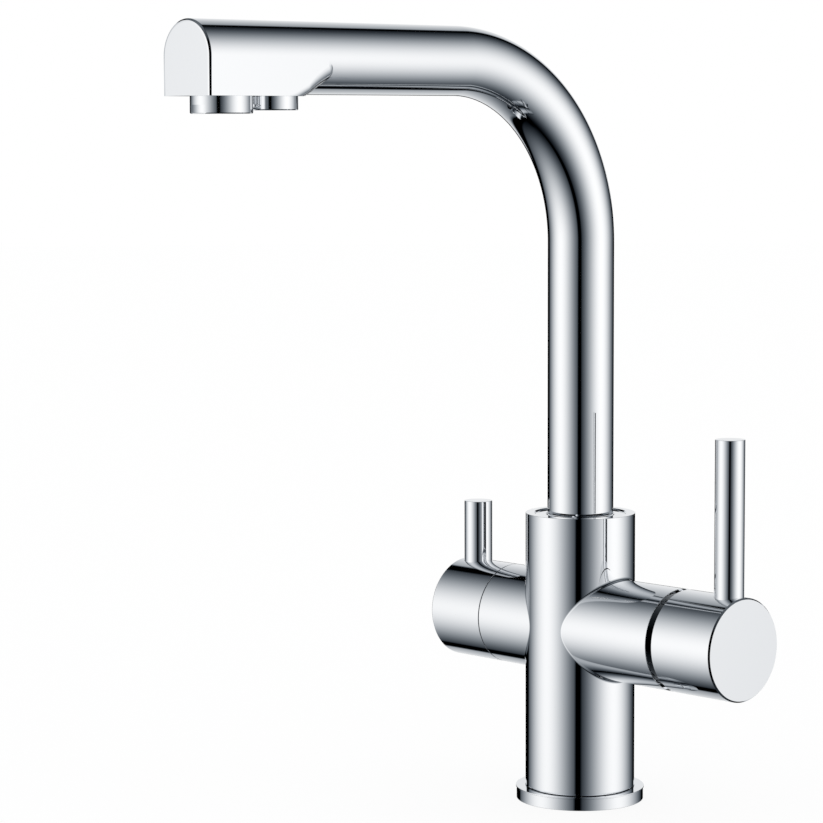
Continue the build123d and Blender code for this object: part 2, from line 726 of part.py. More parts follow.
def mixer_cover_ring():
    """Chromed ring screwed into the arm's mouth; its dome clears the skirt as the cap tilts."""
    low = NUT_TOP + FACE_GAP
    sleeve_d = NUT_BORE_D - 2 * TURNED_FIT
    neck_d = ARM_D - 2 * COVER_NECK_INSET
    dome_r = math.hypot(CAP_START - PIVOT, skirt_bore() / 2) - COVER_DOME_GAP
    dome = Pos(0, 0, PIVOT) * Sphere(dome_r)
    hollow = Pos(0, 0, PIVOT) * Sphere(dome_r - COVER_WALL)
    ring = bar(sleeve_d, low, MIXER_ARM_END) + (bar(neck_d, MIXER_ARM_END, CAP_END) & dome)
    ring -= bar(sleeve_d - 2 * COVER_WALL, low, CAP_END) & hollow
    ring -= bar(COVER_MOUTH_D, low, CAP_END)
    return on_mixer_arm(ring)


def rod_seat(x):
    """The blind seat and the stub's hole that a handle has for its lever rod."""
    seat_z = ARM_Z + ARM_D / 2 - ROD_SEAT_DEPTH
    seat = Pos(x, 0, 0) * bar(ROD_D + 2 * TURNED_FIT, seat_z, ARM_Z + ARM_D)
    return seat + Pos(x, 0, 0) * bar(ROD_STUB_D + 2 * TURNED_FIT, seat_z - ROD_STUB_L, seat_z)


def mixer_cap():
    """Cast lever cap: a skirt that clears the dome, end wall, stem hub and rod boss."""
    radius = ARM_D / 2
    drum = on_mixer_arm(turned([
        (CAP_START, 0), (CAP_START, radius - EDGE_BREAK / 2), (CAP_START + EDGE_BREAK / 2, radius),
        (CAP_END - HANDLE_EDGE, radius), (CAP_END, radius - HANDLE_EDGE), (CAP_END, 0)]))
    drum -= bar_x(skirt_bore(), CAP_START, CAP_SKIRT_DEPTH)
    pocket = bar_x(CAP_POCKET_D, CAP_SKIRT_DEPTH, CAP_END - CAP_END_WALL)
    pocket -= bar_x(CAP_HUB_D, CAP_SKIRT_DEPTH, CAP_END)
    pocket -= Pos(MIXER_ROD_X, 0, 0) * bar(ROD_BOSS_D, ARM_Z, ARM_Z + ARM_D)
    pocket -= Pos(CAP_SCREW_X, 0, 0) * bar(SCREW_BOSS_D, ARM_Z - ARM_D, ARM_Z)
    drum -= pocket
    half = STEM_SQUARE / 2 + TURNED_FIT
    drum -= block((SOCKET_WALL_START, STEM_END + FACE_GAP), (-half, half), (ARM_Z - half, ARM_Z + half))
    drum -= rod_seat(MIXER_ROD_X)
    return drum - screw_hole(CAP_SCREW_X, half)


def screw_hole(x, stem_half):
    """Radial tapped hole in a handle's underside, from the stem's socket to the open."""
    return Pos(x, 0, 0) * bar(SCREW_D + 2 * TURNED_FIT, ARM_Z - ARM_D, ARM_Z - stem_half)


def set_screw(x, stem_half):
    """Hexagon socket set screw that points up at the stem."""
    tip = ARM_Z - stem_half - TURNED_FIT
    screw = Pos(x, 0, 0) * bar(SCREW_D, tip - SCREW_L, tip)
    return screw - Pos(x, 0, 0) * hex_bar(SCREW_HEX, tip - SCREW_L, tip - SCREW_L + SCREW_HEX_DEPTH)


def lever_rod(x, top):
    """Plain rod with a chamfered end and a threaded stub, standing in a handle's seat."""
    seat_z = ARM_Z + ARM_D / 2 - ROD_SEAT_DEPTH
    radius = ROD_D / 2
    stub = ROD_STUB_D / 2
    return Pos(x, 0, 0) * turned([
        (seat_z - ROD_STUB_L, 0), (seat_z - ROD_STUB_L, stub), (seat_z, stub), (seat_z, radius),
        (top - ROD_EDGE, radius), (top, radius - ROD_EDGE), (top, 0)])


def filter_valve_body():
    """Brass headwork: sealed nose, water windows, thread, hexagon flange and neck."""
    fit = VALVE_BORE_D / 2 - TURNED_FIT
    groove = fit - VALVE_GROOVE_DEPTH
    start = VALVE_BORE_START + FACE_GAP
    flange_end = VALVE_FLANGE_SEAT + VALVE_FLANGE_T
    core = turned([
        (start, 0), (start, fit), (VALVE_WINDOW_START, fit), (VALVE_WINDOW_START, groove),
        (VALVE_WINDOW_END, groove), (VALVE_WINDOW_END, fit), (VALVE_FLANGE_SEAT, fit),
        (VALVE_FLANGE_SEAT, VALVE_NECK_D / 2), (VALVE_TOP, VALVE_NECK_D / 2), (VALVE_TOP, 0)])
    core += hex_bar(VALVE_HEX, VALVE_FLANGE_SEAT, flange_end)
    core -= bar(VALVE_CHAMBER_D, start, VALVE_CHAMBER_END)
    core -= bar(SPINDLE_D + 2 * TURNED_FIT, VALVE_CHAMBER_END, VALVE_TOP)
    valve = on_filter_arm(core)
    middle = -(VALVE_WINDOW_START + VALVE_WINDOW_END) / 2
    window = VALVE_WINDOW_END - VALVE_WINDOW_START - 2 * VALVE_WINDOW_LAND
    return valve - Pos(middle, 0, 0) * bar(window, ARM_Z - VALVE_BORE_D, ARM_Z + VALVE_BORE_D)


def valve_disc_start():
    """Where the fixed disc of the filter valve begins, behind its seal."""
    return VALVE_BORE_START + FACE_GAP + VALVE_SEAL_T


def moving_valve_disc_start():
    """The turning disc's lapped face in the filter valve."""
    return valve_disc_start() + VALVE_DISC_T + LAPPED_GAP


def filter_valve_seal():
    """Rubber seal ring at the headwork's nose."""
    low, high = VALVE_BORE_START + FACE_GAP, valve_disc_start()
    outer = VALVE_CHAMBER_D - 2 * TURNED_FIT
    return bar_x(outer, -high, -low) - bar_x(WATERWAY_D, -high, -low)


def valve_disc(low, spread):
    """Ceramic disc with two sector holes; spread turns the holes about the axis."""
    high = low + VALVE_DISC_T
    disc = bar(VALVE_CHAMBER_D - 4 * TURNED_FIT, low, high)
    for place in PolarLocations(VALVE_CHAMBER_D / 4, 2, start_angle=spread):
        disc -= place * bar(VALVE_CHAMBER_D / 4, low, high)
    return on_filter_arm(disc)


def filter_spindle():
    """Brass spindle: driving flange on the moving disc, shaft and splined end."""
    driven = moving_valve_disc_start() + VALVE_DISC_T + LAPPED_GAP
    spindle = bar(VALVE_CHAMBER_D - 8 * TURNED_FIT, VALVE_WINDOW_END + FACE_GAP, VALVE_CHAMBER_END - FACE_GAP)
    spindle += bar(SPINDLE_D, driven, SPLINE_START)
    spindle += Pos(0, 0, SPLINE_START) * extrude(spline_face(0), SPINDLE_END - SPLINE_START)
    return on_filter_arm(spindle)


def spline_face(clearance):
    """Outline of the splined end, opened by a clearance for the knob's socket."""
    tips = SPINDLE_D / 2 + clearance
    points = []
    for step in range(2 * SPLINE_TEETH):
        radius = tips if step % 2 == 0 else tips - SPLINE_DEPTH
        angle = math.pi * step / SPLINE_TEETH
        points.append((radius * math.cos(angle), radius * math.sin(angle)))
    return make_face(Polyline(*points, close=True))


def filter_knob():
    """Cast knob: a cup over the headwork, with the spindle's hub and the rod boss inside."""
    radius = ARM_D / 2
    drum = on_filter_arm(turned([
        (KNOB_START, 0), (KNOB_START, radius), (KNOB_END - HANDLE_EDGE, radius),
        (KNOB_END, radius - HANDLE_EDGE), (KNOB_END, 0)]))
    inner_end = KNOB_END - KNOB_END_WALL
    cup = bar_x(KNOB_BORE_D, -inner_end, -KNOB_START)
    cup -= bar_x(KNOB_HUB_D, -KNOB_END, -KNOB_HUB_START)
    cup -= Pos(-FILTER_ROD_X, 0, 0) * bar(ROD_BOSS_D, ARM_Z, ARM_Z + ARM_D)
    cup -= Pos(-KNOB_SCREW_X, 0, 0) * bar(SCREW_BOSS_D, ARM_Z - ARM_D, ARM_Z)
    drum -= cup
    socket_depth = SPINDLE_END + FACE_GAP - KNOB_HUB_START
    socket = Pos(0, 0, KNOB_HUB_START) * extrude(spline_face(TURNED_FIT), socket_depth)
    drum -= on_filter_arm(socket)
    drum -= rod_seat(-FILTER_ROD_X)
    return drum - screw_hole(-KNOB_SCREW_X, SPINDLE_D / 2 - SPLINE_DEPTH)


def build_nodes():
    """Every piece of the tap, by node name."""
    main = outlet_place(MAIN_FROM_END)
    filtered = outlet_place(FILTERED_FROM_END)
    return {
        "body_casting": body_casting(),
        "base_ring": base_ring(),
        "base_gasket": base_gasket(),
        "insert_ring": insert_ring(),
        "upper_slide_ring": upper_slide_ring(),
        "lower_slide_ring": lower_slide_ring(),
        "spout_foot": spout_foot(),
        "spout_o_rings": spout_o_rings(),
        "spout_tube": spout_tube(),
        "filtered_water_tube": filtered_water_tube(),
        "outlet_head": outlet_head(),
        "main_outlet_housing": main * outlet_housing(
            MAIN_D, MAIN_DROP, MAIN_THREAD_D, MAIN_BORE_D, MAIN_FLATS, MAIN_FLAT_H),
        "main_outlet_insert": main * outlet_insert(MAIN_BORE_D, MAIN_DROP),
        "main_outlet_washer": main * outlet_washer(MAIN_BORE_D),
        "filtered_outlet_housing": filtered * outlet_housing(
            FILTERED_D, FILTERED_DROP, FILTERED_THREAD_D, FILTERED_BORE_D, FILTERED_FLATS, FILTERED_FLAT_H),
        "filtered_outlet_insert": filtered * outlet_insert(FILTERED_BORE_D, FILTERED_DROP),
        "filtered_outlet_washer": filtered * outlet_washer(FILTERED_BORE_D),
        "cartridge_seals": cartridge_seals(),
        "cartridge_base": cartridge_base(),
        "fixed_ceramic_disc": fixed_ceramic_disc(),
        "cartridge_housing": cartridge_housing(),
        "cartridge_nut": cartridge_nut(),
        "mixer_cover_ring": mixer_cover_ring(),
        "moving_ceramic_disc": moving_ceramic_disc(),
        "disc_carrier": disc_carrier(),
        "cartridge_turret": cartridge_turret(),
        "pivot_pin": pivot_pin(),
        "mixer_stem": mixer_stem(),
        "mixer_cap": mixer_cap(),
        "mixer_lever_rod": lever_rod(MIXER_ROD_X, MIXER_ROD_TOP),
        "mixer_set_screw": set_screw(CAP_SCREW_X, STEM_SQUARE / 2),
        "filter_valve_body": filter_valve_body(),
        "filter_valve_seal": filter_valve_seal(),
        "filter_fixed_disc": valve_disc(valve_disc_start(), 0),
        "filter_moving_disc": valve_disc(moving_valve_disc_start(), 90),
        "filter_spindle": filter_spindle(),
        "filter_knob": filter_knob(),
        "filter_lever_rod": lever_rod(-FILTER_ROD_X, FILTER_ROD_TOP),
        "filter_set_screw": set_screw(-KNOB_SCREW_X, SPINDLE_D / 2),
    }


os.makedirs("parts", exist_ok=True)
for node, shape in build_nodes().items():
    export_step(shape, f"parts/{node}.step")
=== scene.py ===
import math

import bmesh
import bpy
import numpy as np
from mathutils import Matrix, Vector


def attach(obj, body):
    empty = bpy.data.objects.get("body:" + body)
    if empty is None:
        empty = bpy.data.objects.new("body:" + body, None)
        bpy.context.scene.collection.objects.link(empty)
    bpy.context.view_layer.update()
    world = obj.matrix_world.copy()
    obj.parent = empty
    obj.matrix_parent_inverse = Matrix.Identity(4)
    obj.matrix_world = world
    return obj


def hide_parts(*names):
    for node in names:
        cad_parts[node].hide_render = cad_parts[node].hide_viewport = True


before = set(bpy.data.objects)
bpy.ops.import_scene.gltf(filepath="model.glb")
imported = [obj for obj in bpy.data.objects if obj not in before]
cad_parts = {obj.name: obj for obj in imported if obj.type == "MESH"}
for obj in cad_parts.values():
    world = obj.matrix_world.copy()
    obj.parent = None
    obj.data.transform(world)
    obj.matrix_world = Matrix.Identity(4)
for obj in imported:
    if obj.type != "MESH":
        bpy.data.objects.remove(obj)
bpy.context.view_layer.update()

# ---------------------------------------------------------------------------
# Camera. A long lens stands to the front right of the tap, a little below the
# height of its top, and looks slightly down and past its left side.
# ---------------------------------------------------------------------------
MM = 0.001
CAMERA_DISTANCE = 1247.3
CAMERA_AROUND = math.radians(43.388)
CAMERA_HEIGHT = 287.35
CAMERA_TURN = math.radians(3.302)
CAMERA_DIP = math.radians(5.533)
CAMERA_ROLL = math.radians(-0.188)
PICTURE_WIDTH = 823
FOCAL_PIXELS = 2944.5
SENSOR_WIDTH = 36.0
NEAREST_SEEN = 0.01


def aim_camera():
    """Stands the camera at its place and turns, dips and rolls it."""
    up = Vector((0, 0, 1))
    ahead = Vector((-math.sin(CAMERA_AROUND), math.cos(CAMERA_AROUND), 0))
    ahead.rotate(Matrix.Rotation(CAMERA_TURN, 3, up))
    right = ahead.cross(up)
    forward = ahead * math.cos(CAMERA_DIP) - up * math.sin(CAMERA_DIP)
    above = right.cross(forward)
    rolled_right = right * math.cos(CAMERA_ROLL) + above * math.sin(CAMERA_ROLL)
    rolled_up = above * math.cos(CAMERA_ROLL) - right * math.sin(CAMERA_ROLL)
    lens = bpy.data.cameras.new("tap_camera")
    lens.sensor_width = SENSOR_WIDTH
    lens.lens = FOCAL_PIXELS * SENSOR_WIDTH / PICTURE_WIDTH
    lens.clip_start = NEAREST_SEEN
    camera = bpy.data.objects.new("tap_camera", lens)
    turn = Matrix((rolled_right, rolled_up, -forward)).transposed().to_4x4()
    place = Vector((CAMERA_DISTANCE * math.sin(CAMERA_AROUND),
                    -CAMERA_DISTANCE * math.cos(CAMERA_AROUND), CAMERA_HEIGHT))
    camera.matrix_world = Matrix.Translation(place * MM) @ turn
    bpy.context.scene.collection.objects.link(camera)
    bpy.context.scene.camera = camera


aim_camera()
bpy.context.scene.view_settings.view_transform = "Standard"

# ---------------------------------------------------------------------------
# Studio. Three tall softboxes stand round the tap in a dark room: only polished
# metal mirrors them. Everything else is lit by an even white sky all round.
# ---------------------------------------------------------------------------
SOFTBOXES = (
    # middle, then reach to its left and to its right (degrees about the tap), brightness, fall-off,
    # and half the height of the dark strip between its foot and its light on the table (-1: none)
    (-32.0, 65.5, 67.0, 1.04, 3.0, -1.0),
    (119.0, 75.0, 77.0, 1.06, 2.8, -1.0),
    (-133.5, 24.0, 23.0, 0.86, 3.0, 0.12),
)
STRIP_MIDDLE, STRIP_EDGE = -0.12, 0.02
SOFTBOX_EDGE = math.radians(4.0)
FALL_WITH_HEIGHT = 2.35
DARK_POLE, POLE_EDGE = 0.07, 0.06
COOL_LIGHT = (1.06, 1.0, 0.94)


def sum_node(tree, operation, *values, clamp=False):
    """A maths node in a tree of nodes, fed with numbers or with other nodes' outputs."""
    node = tree.nodes.new("ShaderNodeMath")
    node.operation = operation
    node.use_clamp = clamp
    for socket, value in zip(node.inputs, values):
        if isinstance(value, (int, float)):
            socket.default_value = value
        else:
            tree.links.new(value, socket)
    return node.outputs[0]


def softbox_light(tree, around, height, middle, left, right, level, power, strip):
    """How bright one softbox is in a direction: brightest in its middle, cut off at edges and foot."""
    away = sum_node(tree, "SUBTRACT", around, math.radians(middle))
    ahead = sum_node(tree, "COSINE", away)
    turned_by = sum_node(tree, "ARCTAN2", sum_node(tree, "SINE", away), ahead)
    past_left = sum_node(tree, "ADD", turned_by, math.radians(left))
    short_of_right = sum_node(tree, "SUBTRACT", math.radians(right), turned_by)
    inside = sum_node(
        tree, "MULTIPLY", sum_node(tree, "DIVIDE", past_left, SOFTBOX_EDGE, clamp=True),
        sum_node(tree, "DIVIDE", short_of_right, SOFTBOX_EDGE, clamp=True))
    glow = sum_node(tree, "POWER", sum_node(tree, "MAXIMUM", ahead, 0.0), power)
    from_strip = sum_node(tree, "ABSOLUTE", sum_node(tree, "SUBTRACT", height, STRIP_MIDDLE))
    past_strip = sum_node(tree, "SUBTRACT", from_strip, strip)
    off_strip = sum_node(tree, "DIVIDE", past_strip, STRIP_EDGE, clamp=True)
    inside = sum_node(tree, "MULTIPLY", inside, off_strip)
    return sum_node(tree, "MULTIPLY", inside, sum_node(tree, "MULTIPLY", glow, level))


def light_studio():
    """The world: softboxes for what polished metal mirrors, plain white for all other light."""
    world = bpy.data.worlds.new("studio")
    world.use_nodes = True
    tree = world.node_tree
    tree.nodes.clear()
    place = tree.nodes.new("ShaderNodeTexCoord")
    split = tree.nodes.new("ShaderNodeSeparateXYZ")
    tree.links.new(place.outputs["Generated"], split.inputs[0])
    x, y, z = split.outputs
    around = sum_node(tree, "ARCTAN2", x, sum_node(tree, "MULTIPLY", y, -1.0))
    steepness = sum_node(tree, "MULTIPLY", z, z)
    level_part = sum_node(tree, "SQRT", sum_node(tree, "SUBTRACT", 1.0, steepness))
    total = 0.0
    for softbox in SOFTBOXES:
        total = sum_node(tree, "ADD", total, softbox_light(tree, around, z, *softbox))
    total = sum_node(tree, "MULTIPLY", total, sum_node(tree, "POWER", level_part, FALL_WITH_HEIGHT))
    off_pole = sum_node(tree, "SUBTRACT", level_part, DARK_POLE)
    pole = sum_node(tree, "DIVIDE", off_pole, POLE_EDGE, clamp=True)
    total = sum_node(tree, "MULTIPLY", total, pole)
    tint = tree.nodes.new("ShaderNodeCombineColor")
    for socket, bend in zip(tint.inputs, COOL_LIGHT):
        tree.links.new(sum_node(tree, "POWER", total, bend), socket)
    mirrored = tree.nodes.new("ShaderNodeBackground")
    tree.links.new(tint.outputs[0], mirrored.inputs["Color"])
    sky = tree.nodes.new("ShaderNodeBackground")
    sky.inputs["Color"].default_value = (1, 1, 1, 1)
    ray = tree.nodes.new("ShaderNodeLightPath")
    mix = tree.nodes.new("ShaderNodeMixShader")
    tree.links.new(ray.outputs["Is Glossy Ray"], mix.inputs[0])
    tree.links.new(sky.outputs[0], mix.inputs[1])
    tree.links.new(mirrored.outputs[0], mix.inputs[2])
    out = tree.nodes.new("ShaderNodeOutputWorld")
    tree.links.new(mix.outputs[0], out.inputs["Surface"])
    bpy.context.scene.world = world


light_studio()

# ---------------------------------------------------------------------------
# Floor. A plain matt white table top under the tap, which takes its faint
# shadow. The chrome doesn't mirror it, and mirrors the studio's light instead.
# ---------------------------------------------------------------------------
FLOOR_REACH = 6.0
FLOOR_SIDES = 64
FLOOR_WHITE = (0.97, 0.97, 0.975, 1)
FLOOR_ROUGHNESS = 0.9
FLOOR_GLOW = 0.88


def lay_floor():
    """A wide round floor that is nearly white to the camera and keeps a soft shadow."""
    rim = [(FLOOR_REACH * math.cos(2 * math.pi * k / FLOOR_SIDES),
            FLOOR_REACH * math.sin(2 * math.pi * k / FLOOR_SIDES), 0) for k in range(FLOOR_SIDES)]
    mesh = bpy.data.meshes.new("studio_floor")
    mesh.from_pydata(rim, [], [range(FLOOR_SIDES)])
    floor = bpy.data.objects.new("studio_floor", mesh)
    bpy.context.scene.collection.objects.link(floor)
    floor.visible_glossy = False
    paint = bpy.data.materials.new("floor_paint")
    paint.use_nodes = True
    tree = paint.node_tree
    shader = tree.nodes["Principled BSDF"]
    shader.inputs["Base Color"].default_value = FLOOR_WHITE
    shader.inputs["Roughness"].default_value = FLOOR_ROUGHNESS
    shader.inputs["Specular IOR Level"].default_value = 0.0
    glow = tree.nodes.new("ShaderNodeEmission")
    ray = tree.nodes.new("ShaderNodeLightPath")
    mix = tree.nodes.new("ShaderNodeMixShader")
    glow_share = sum_node(tree, "MULTIPLY", ray.outputs["Is Camera Ray"], FLOOR_GLOW)
    tree.links.new(glow_share, mix.inputs[0])
    tree.links.new(shader.outputs[0], mix.inputs[1])
    tree.links.new(glow.outputs[0], mix.inputs[2])
    tree.links.new(mix.outputs[0], tree.nodes["Material Output"].inputs["Surface"])
    mesh.materials.append(paint)


lay_floor()

# ---------------------------------------------------------------------------
# Body casting. One chromed brass casting: a round column, the mixer arm on its
# right and the filter arm on its left, bored for the spout, cartridge and valve.
# ---------------------------------------------------------------------------
ARM_HEIGHT = 75.3
COLUMN_R = 23.3
COLUMN_TOP = 123.4
COLUMN_FOOT_R, COLUMN_FOOT_H = 21.5, 2.5
RELIEF_R, RELIEF_LOW, RELIEF_HIGH = 22.9, 5.55, 6.05
RIM_CHAMFER = 0.62
ARM_R = 21.4
MIXER_ARM_END = 56.7
FILTER_ARM_END = 40.1
SEAT_R, SEAT_FLOOR = 19.2, 108.0
SPIGOT_R, SPIGOT_FLOOR = 11.05, 90.0
NOSE_R, NOSE_FLOOR = 5.55, 80.0
CARTRIDGE_R, CARTRIDGE_FLOOR = 17.6, 20.0
NUT_R, NUT_FLOOR = 19.0, 44.0
VALVE_R, VALVE_FLOOR = 9.95, 10.0
HEADWORK_R, HEADWORK_FLOOR = 17.0, 32.2
# the fixing stud's hole and the three hoses' holes, as (x, y, radius, depth)
DECK_HOLES = ((0, 0, 3.4, 18), (7, -6.5, 4.5, 12), (7, 6.5, 4.5, 12), (-15.5, 0, 4.5, 12))
HOLE_CHAMFER = 0.5
CREASE_R = 1.5
CREASE_STEPS, SEARCH_STEPS = 8, 8
SUNK = 0.03
PAST = 1.0
CRISP_EDGE, SOFT_EDGE, ROUND_EDGE = 0.05, 0.08, 0.15
ROUND_STEPS = 360
SMALL_STEPS = 72
EDGE_STEP = 15
SAME_PLACE, NEARBY = 0.03, 1
SAME_WAY = 0.9
NOTHING = 1e-6

arm_axis = (0, 0, ARM_HEIGHT)
exact_faces = {}


def stations_of(corners):
    """The corners of a closed outline, (radius, along[, edge radius]), as points with their normals."""
    points = [Vector(corner[:2]) for corner in corners]
    following = points[1:] + points[:1]
    swept = sum(a.x * b.y - b.x * a.y for a, b in zip(points, following))
    side = math.copysign(1, swept)
    stations = []
    for corner, here, last, after in zip(corners, points, points[-1:] + points[:-1], following):
        towards, away = (here - last).normalized(), (after - here).normalized()
        normal_in = side * Vector((towards.y, -towards.x))
        normal_out = side * Vector((away.y, -away.x))
        if len(corner) < 3:
            stations.append((here, normal_in, normal_out))
            continue
        turn = normal_in.angle(normal_out)
        outwards = side * (towards.x * away.y - towards.y * away.x) > 0
        bulge = corner[2] if outwards else -corner[2]
        centre = here - towards * corner[2] * math.tan(turn / 2) - normal_in * bulge
        steps = max(2, round(math.degrees(turn) / EDGE_STEP))
        for step in range(steps + 1):
            normal = normal_in.slerp(normal_out, step / steps)
            stations.append((centre + normal * bulge, normal, normal))
    return stations


def square_to(axis):
    """Two directions square to an axis and to each other."""
    first = Vector((0, 0, 1)) if abs(axis.z) < SAME_WAY else Vector((1, 0, 0))
    return first, axis.cross(first)


def new_piece(name, points, faces):
    """A closed mesh in the scene from points in millimetres, its faces all turned outwards."""
    mesh = bpy.data.meshes.new(name)
    mesh.from_pydata([point * MM for point in points], [], faces)
    shape = bmesh.new()
    shape.from_mesh(mesh)
    bmesh.ops.recalc_face_normals(shape, faces=shape.faces)
    shape.to_mesh(mesh)
    shape.free()
    piece = bpy.data.objects.new(name, mesh)
    bpy.context.scene.collection.objects.link(piece)
    return piece


def turned_stretch(start, axis, low, high, low_normal, high_normal):
    """A turned face between two stations: how far off it places lie, and its exact normal there."""
    def exact(places):
        offset = places - start
        along = offset @ axis
        outward = offset - along[:, None] * axis
        radius = np.linalg.norm(outward, axis=1)
        outward /= np.maximum(radius, NOTHING)[:, None]
        run_r, run_z = high.x - low.x, high.y - low.y
        length = max(math.hypot(run_r, run_z), NOTHING)
        share = ((radius - low.x) * run_r + (along - low.y) * run_z) / length ** 2
        inside = np.clip(share, 0, 1)
        off = np.hypot(radius - low.x - inside * run_r, along - low.y - inside * run_z)
        mixed_r = low_normal.x * (1 - inside) + high_normal.x * inside
        mixed_z = low_normal.y * (1 - inside) + high_normal.y * inside
        return off, outward * mixed_r[:, None] + axis * mixed_z[:, None]
    return exact


def turned(name, corners, start=(0, 0, 0), axis=(0, 0, 1), steps=ROUND_STEPS):
    """A solid turned about an axis from a closed outline of (radius, along[, edge radius]) corners."""
    stations = stations_of(corners)
    origin, axle = Vector(start), Vector(axis)
    first, second = square_to(axle)
    spokes = [first * math.cos(2 * math.pi * k / steps) + second * math.sin(2 * math.pi * k / steps)
              for k in range(steps)]
    points, rings = [], []
    for place, _, _ in stations:
        if place.x < NOTHING:
            rings.append([len(points)] * steps)
            points.append(origin + axle * place.y)
        else:
            rings.append(range(len(points), len(points) + steps))
            points.extend(origin + axle * place.y + spoke * place.x for spoke in spokes)
    faces = []
    for ring, after in zip(rings, rings[1:] + rings[:1]):
        for k in range(steps):
            beside = (k + 1) % steps
            face = list(dict.fromkeys((ring[k], ring[beside], after[beside], after[k])))
            if len(face) > 2:
                faces.append(face)
    piece = new_piece(name, points, faces)
    exact_faces[name] = [turned_stretch(np.array(start), np.array(axis), a[0], b[0], a[2], b[1])
                         for a, b in zip(stations, stations[1:] + stations[:1])]
    return piece


def ringed(name, rings, closed):
    """A solid skinned over rings of points: closed on itself, or with a flat face at each end."""
    count = len(rings[0])
    points = [point for ring in rings for point in ring]
    faces = []
    for r in range(len(rings) if closed else len(rings) - 1):
        here, after = r * count, (r + 1) % len(rings) * count
        for k in range(count):
            beside = (k + 1) % count
            faces.append((here + k, here + beside, after + beside, after + k))
    if not closed:
        faces.append(range(count))
        faces.append(range(len(points) - count, len(points)))
    return new_piece(name, points, faces)


def joined(piece, other, how):
    """Adds a solid to a piece, cuts it out or keeps what they share, and notes both sets of faces."""
    step = piece.modifiers.new(how, "BOOLEAN")
    step.operation = how
    step.solver = "EXACT"
    step.object = other
    mesh = bpy.data.meshes.new_from_object(piece.evaluated_get(bpy.context.evaluated_depsgraph_get()))
    piece.modifiers.clear()
    piece.data = mesh
    exact_faces.setdefault(piece.name, []).extend(exact_faces.pop(other.name, []))
    bpy.data.objects.remove(other)
    return piece


def polished(piece):
    """Gives each corner of a piece's faces the exact normal of the surface that it lies on."""
    mesh = piece.data
    mesh.shade_smooth()
    co = np.empty(len(mesh.vertices) * 3)
    mesh.vertices.foreach_get("co", co)
    vertex_of = np.empty(len(mesh.loops), int)
    mesh.loops.foreach_get("vertex_index", vertex_of)
    sizes = np.empty(len(mesh.polygons), int)
    mesh.polygons.foreach_get("loop_total", sizes)
    facing = np.empty(len(mesh.polygons) * 3)
    mesh.polygons.foreach_get("normal", facing)
    places = co.reshape(-1, 3) / MM
    flat = np.repeat(facing.reshape(-1, 3), sizes, axis=0)
    normals, agreed = flat.copy(), np.full(len(flat), SAME_WAY)
    for exact in exact_faces[piece.name]:
        off, normal = exact(places)
        normal /= np.maximum(np.linalg.norm(normal, axis=1), NOTHING)[:, None]
        off, normal = off[vertex_of], normal[vertex_of]
        agrees = np.einsum("ij,ij->i", normal, flat)
        normal[agrees < 0] *= -1
        agrees = np.abs(agrees)
        better = (off < SAME_PLACE) & (agrees > agreed)
        normals[better], agreed[better] = normal[better], agrees[better]
    mesh.normals_split_custom_set(normals)
    return piece


def crease_bead(side):
    """The cast fillet in the crease of column and arm, as a ball rolled along both would leave it."""
    def ball_centre(turn):
        y = (ARM_R + CREASE_R) * np.sin(turn)
        x = side * np.sqrt((COLUMN_R + CREASE_R) ** 2 - y ** 2)
        return np.stack([x, y, ARM_HEIGHT + (ARM_R + CREASE_R) * np.cos(turn)], axis=-1)

    def exact(places):
        turn = np.arctan2(places[:, 1], places[:, 2] - ARM_HEIGHT)
        nudge = 1e-4
        for _ in range(SEARCH_STEPS):
            along = (ball_centre(turn + nudge) - ball_centre(turn - nudge)) / (2 * nudge)
            gap = places - ball_centre(turn)
            turn = turn + np.einsum("ij,ij->i", gap, along) / np.einsum("ij,ij->i", along, along)
        gap = places - ball_centre(turn)
        return np.abs(np.linalg.norm(gap, axis=1) - CREASE_R), gap

    rings = []
    for k in range(ROUND_STEPS):
        turn = 2 * math.pi * k / ROUND_STEPS
        centre = Vector(ball_centre(np.array(turn)))
        off_arm = Vector((0, -math.sin(turn), -math.cos(turn)))
        off_column = Vector((-centre.x, -centre.y, 0)).normalized()
        arc = [centre + off_arm.slerp(off_column, step / CREASE_STEPS) * CREASE_R
               for step in range(CREASE_STEPS + 1)]
        y = (ARM_R - PAST) * math.sin(turn)
        inner = Vector((side * (math.sqrt(COLUMN_R ** 2 - y * y) - PAST), y,
                        ARM_HEIGHT + (ARM_R - PAST) * math.cos(turn)))
        rings.append([arc[0] + off_arm * SUNK] + arc[1:-1] + [arc[-1] + off_column * SUNK, inner])
    bead = ringed("crease_bead", rings, closed=True)
    exact_faces["crease_bead"] = [exact]
    return bead


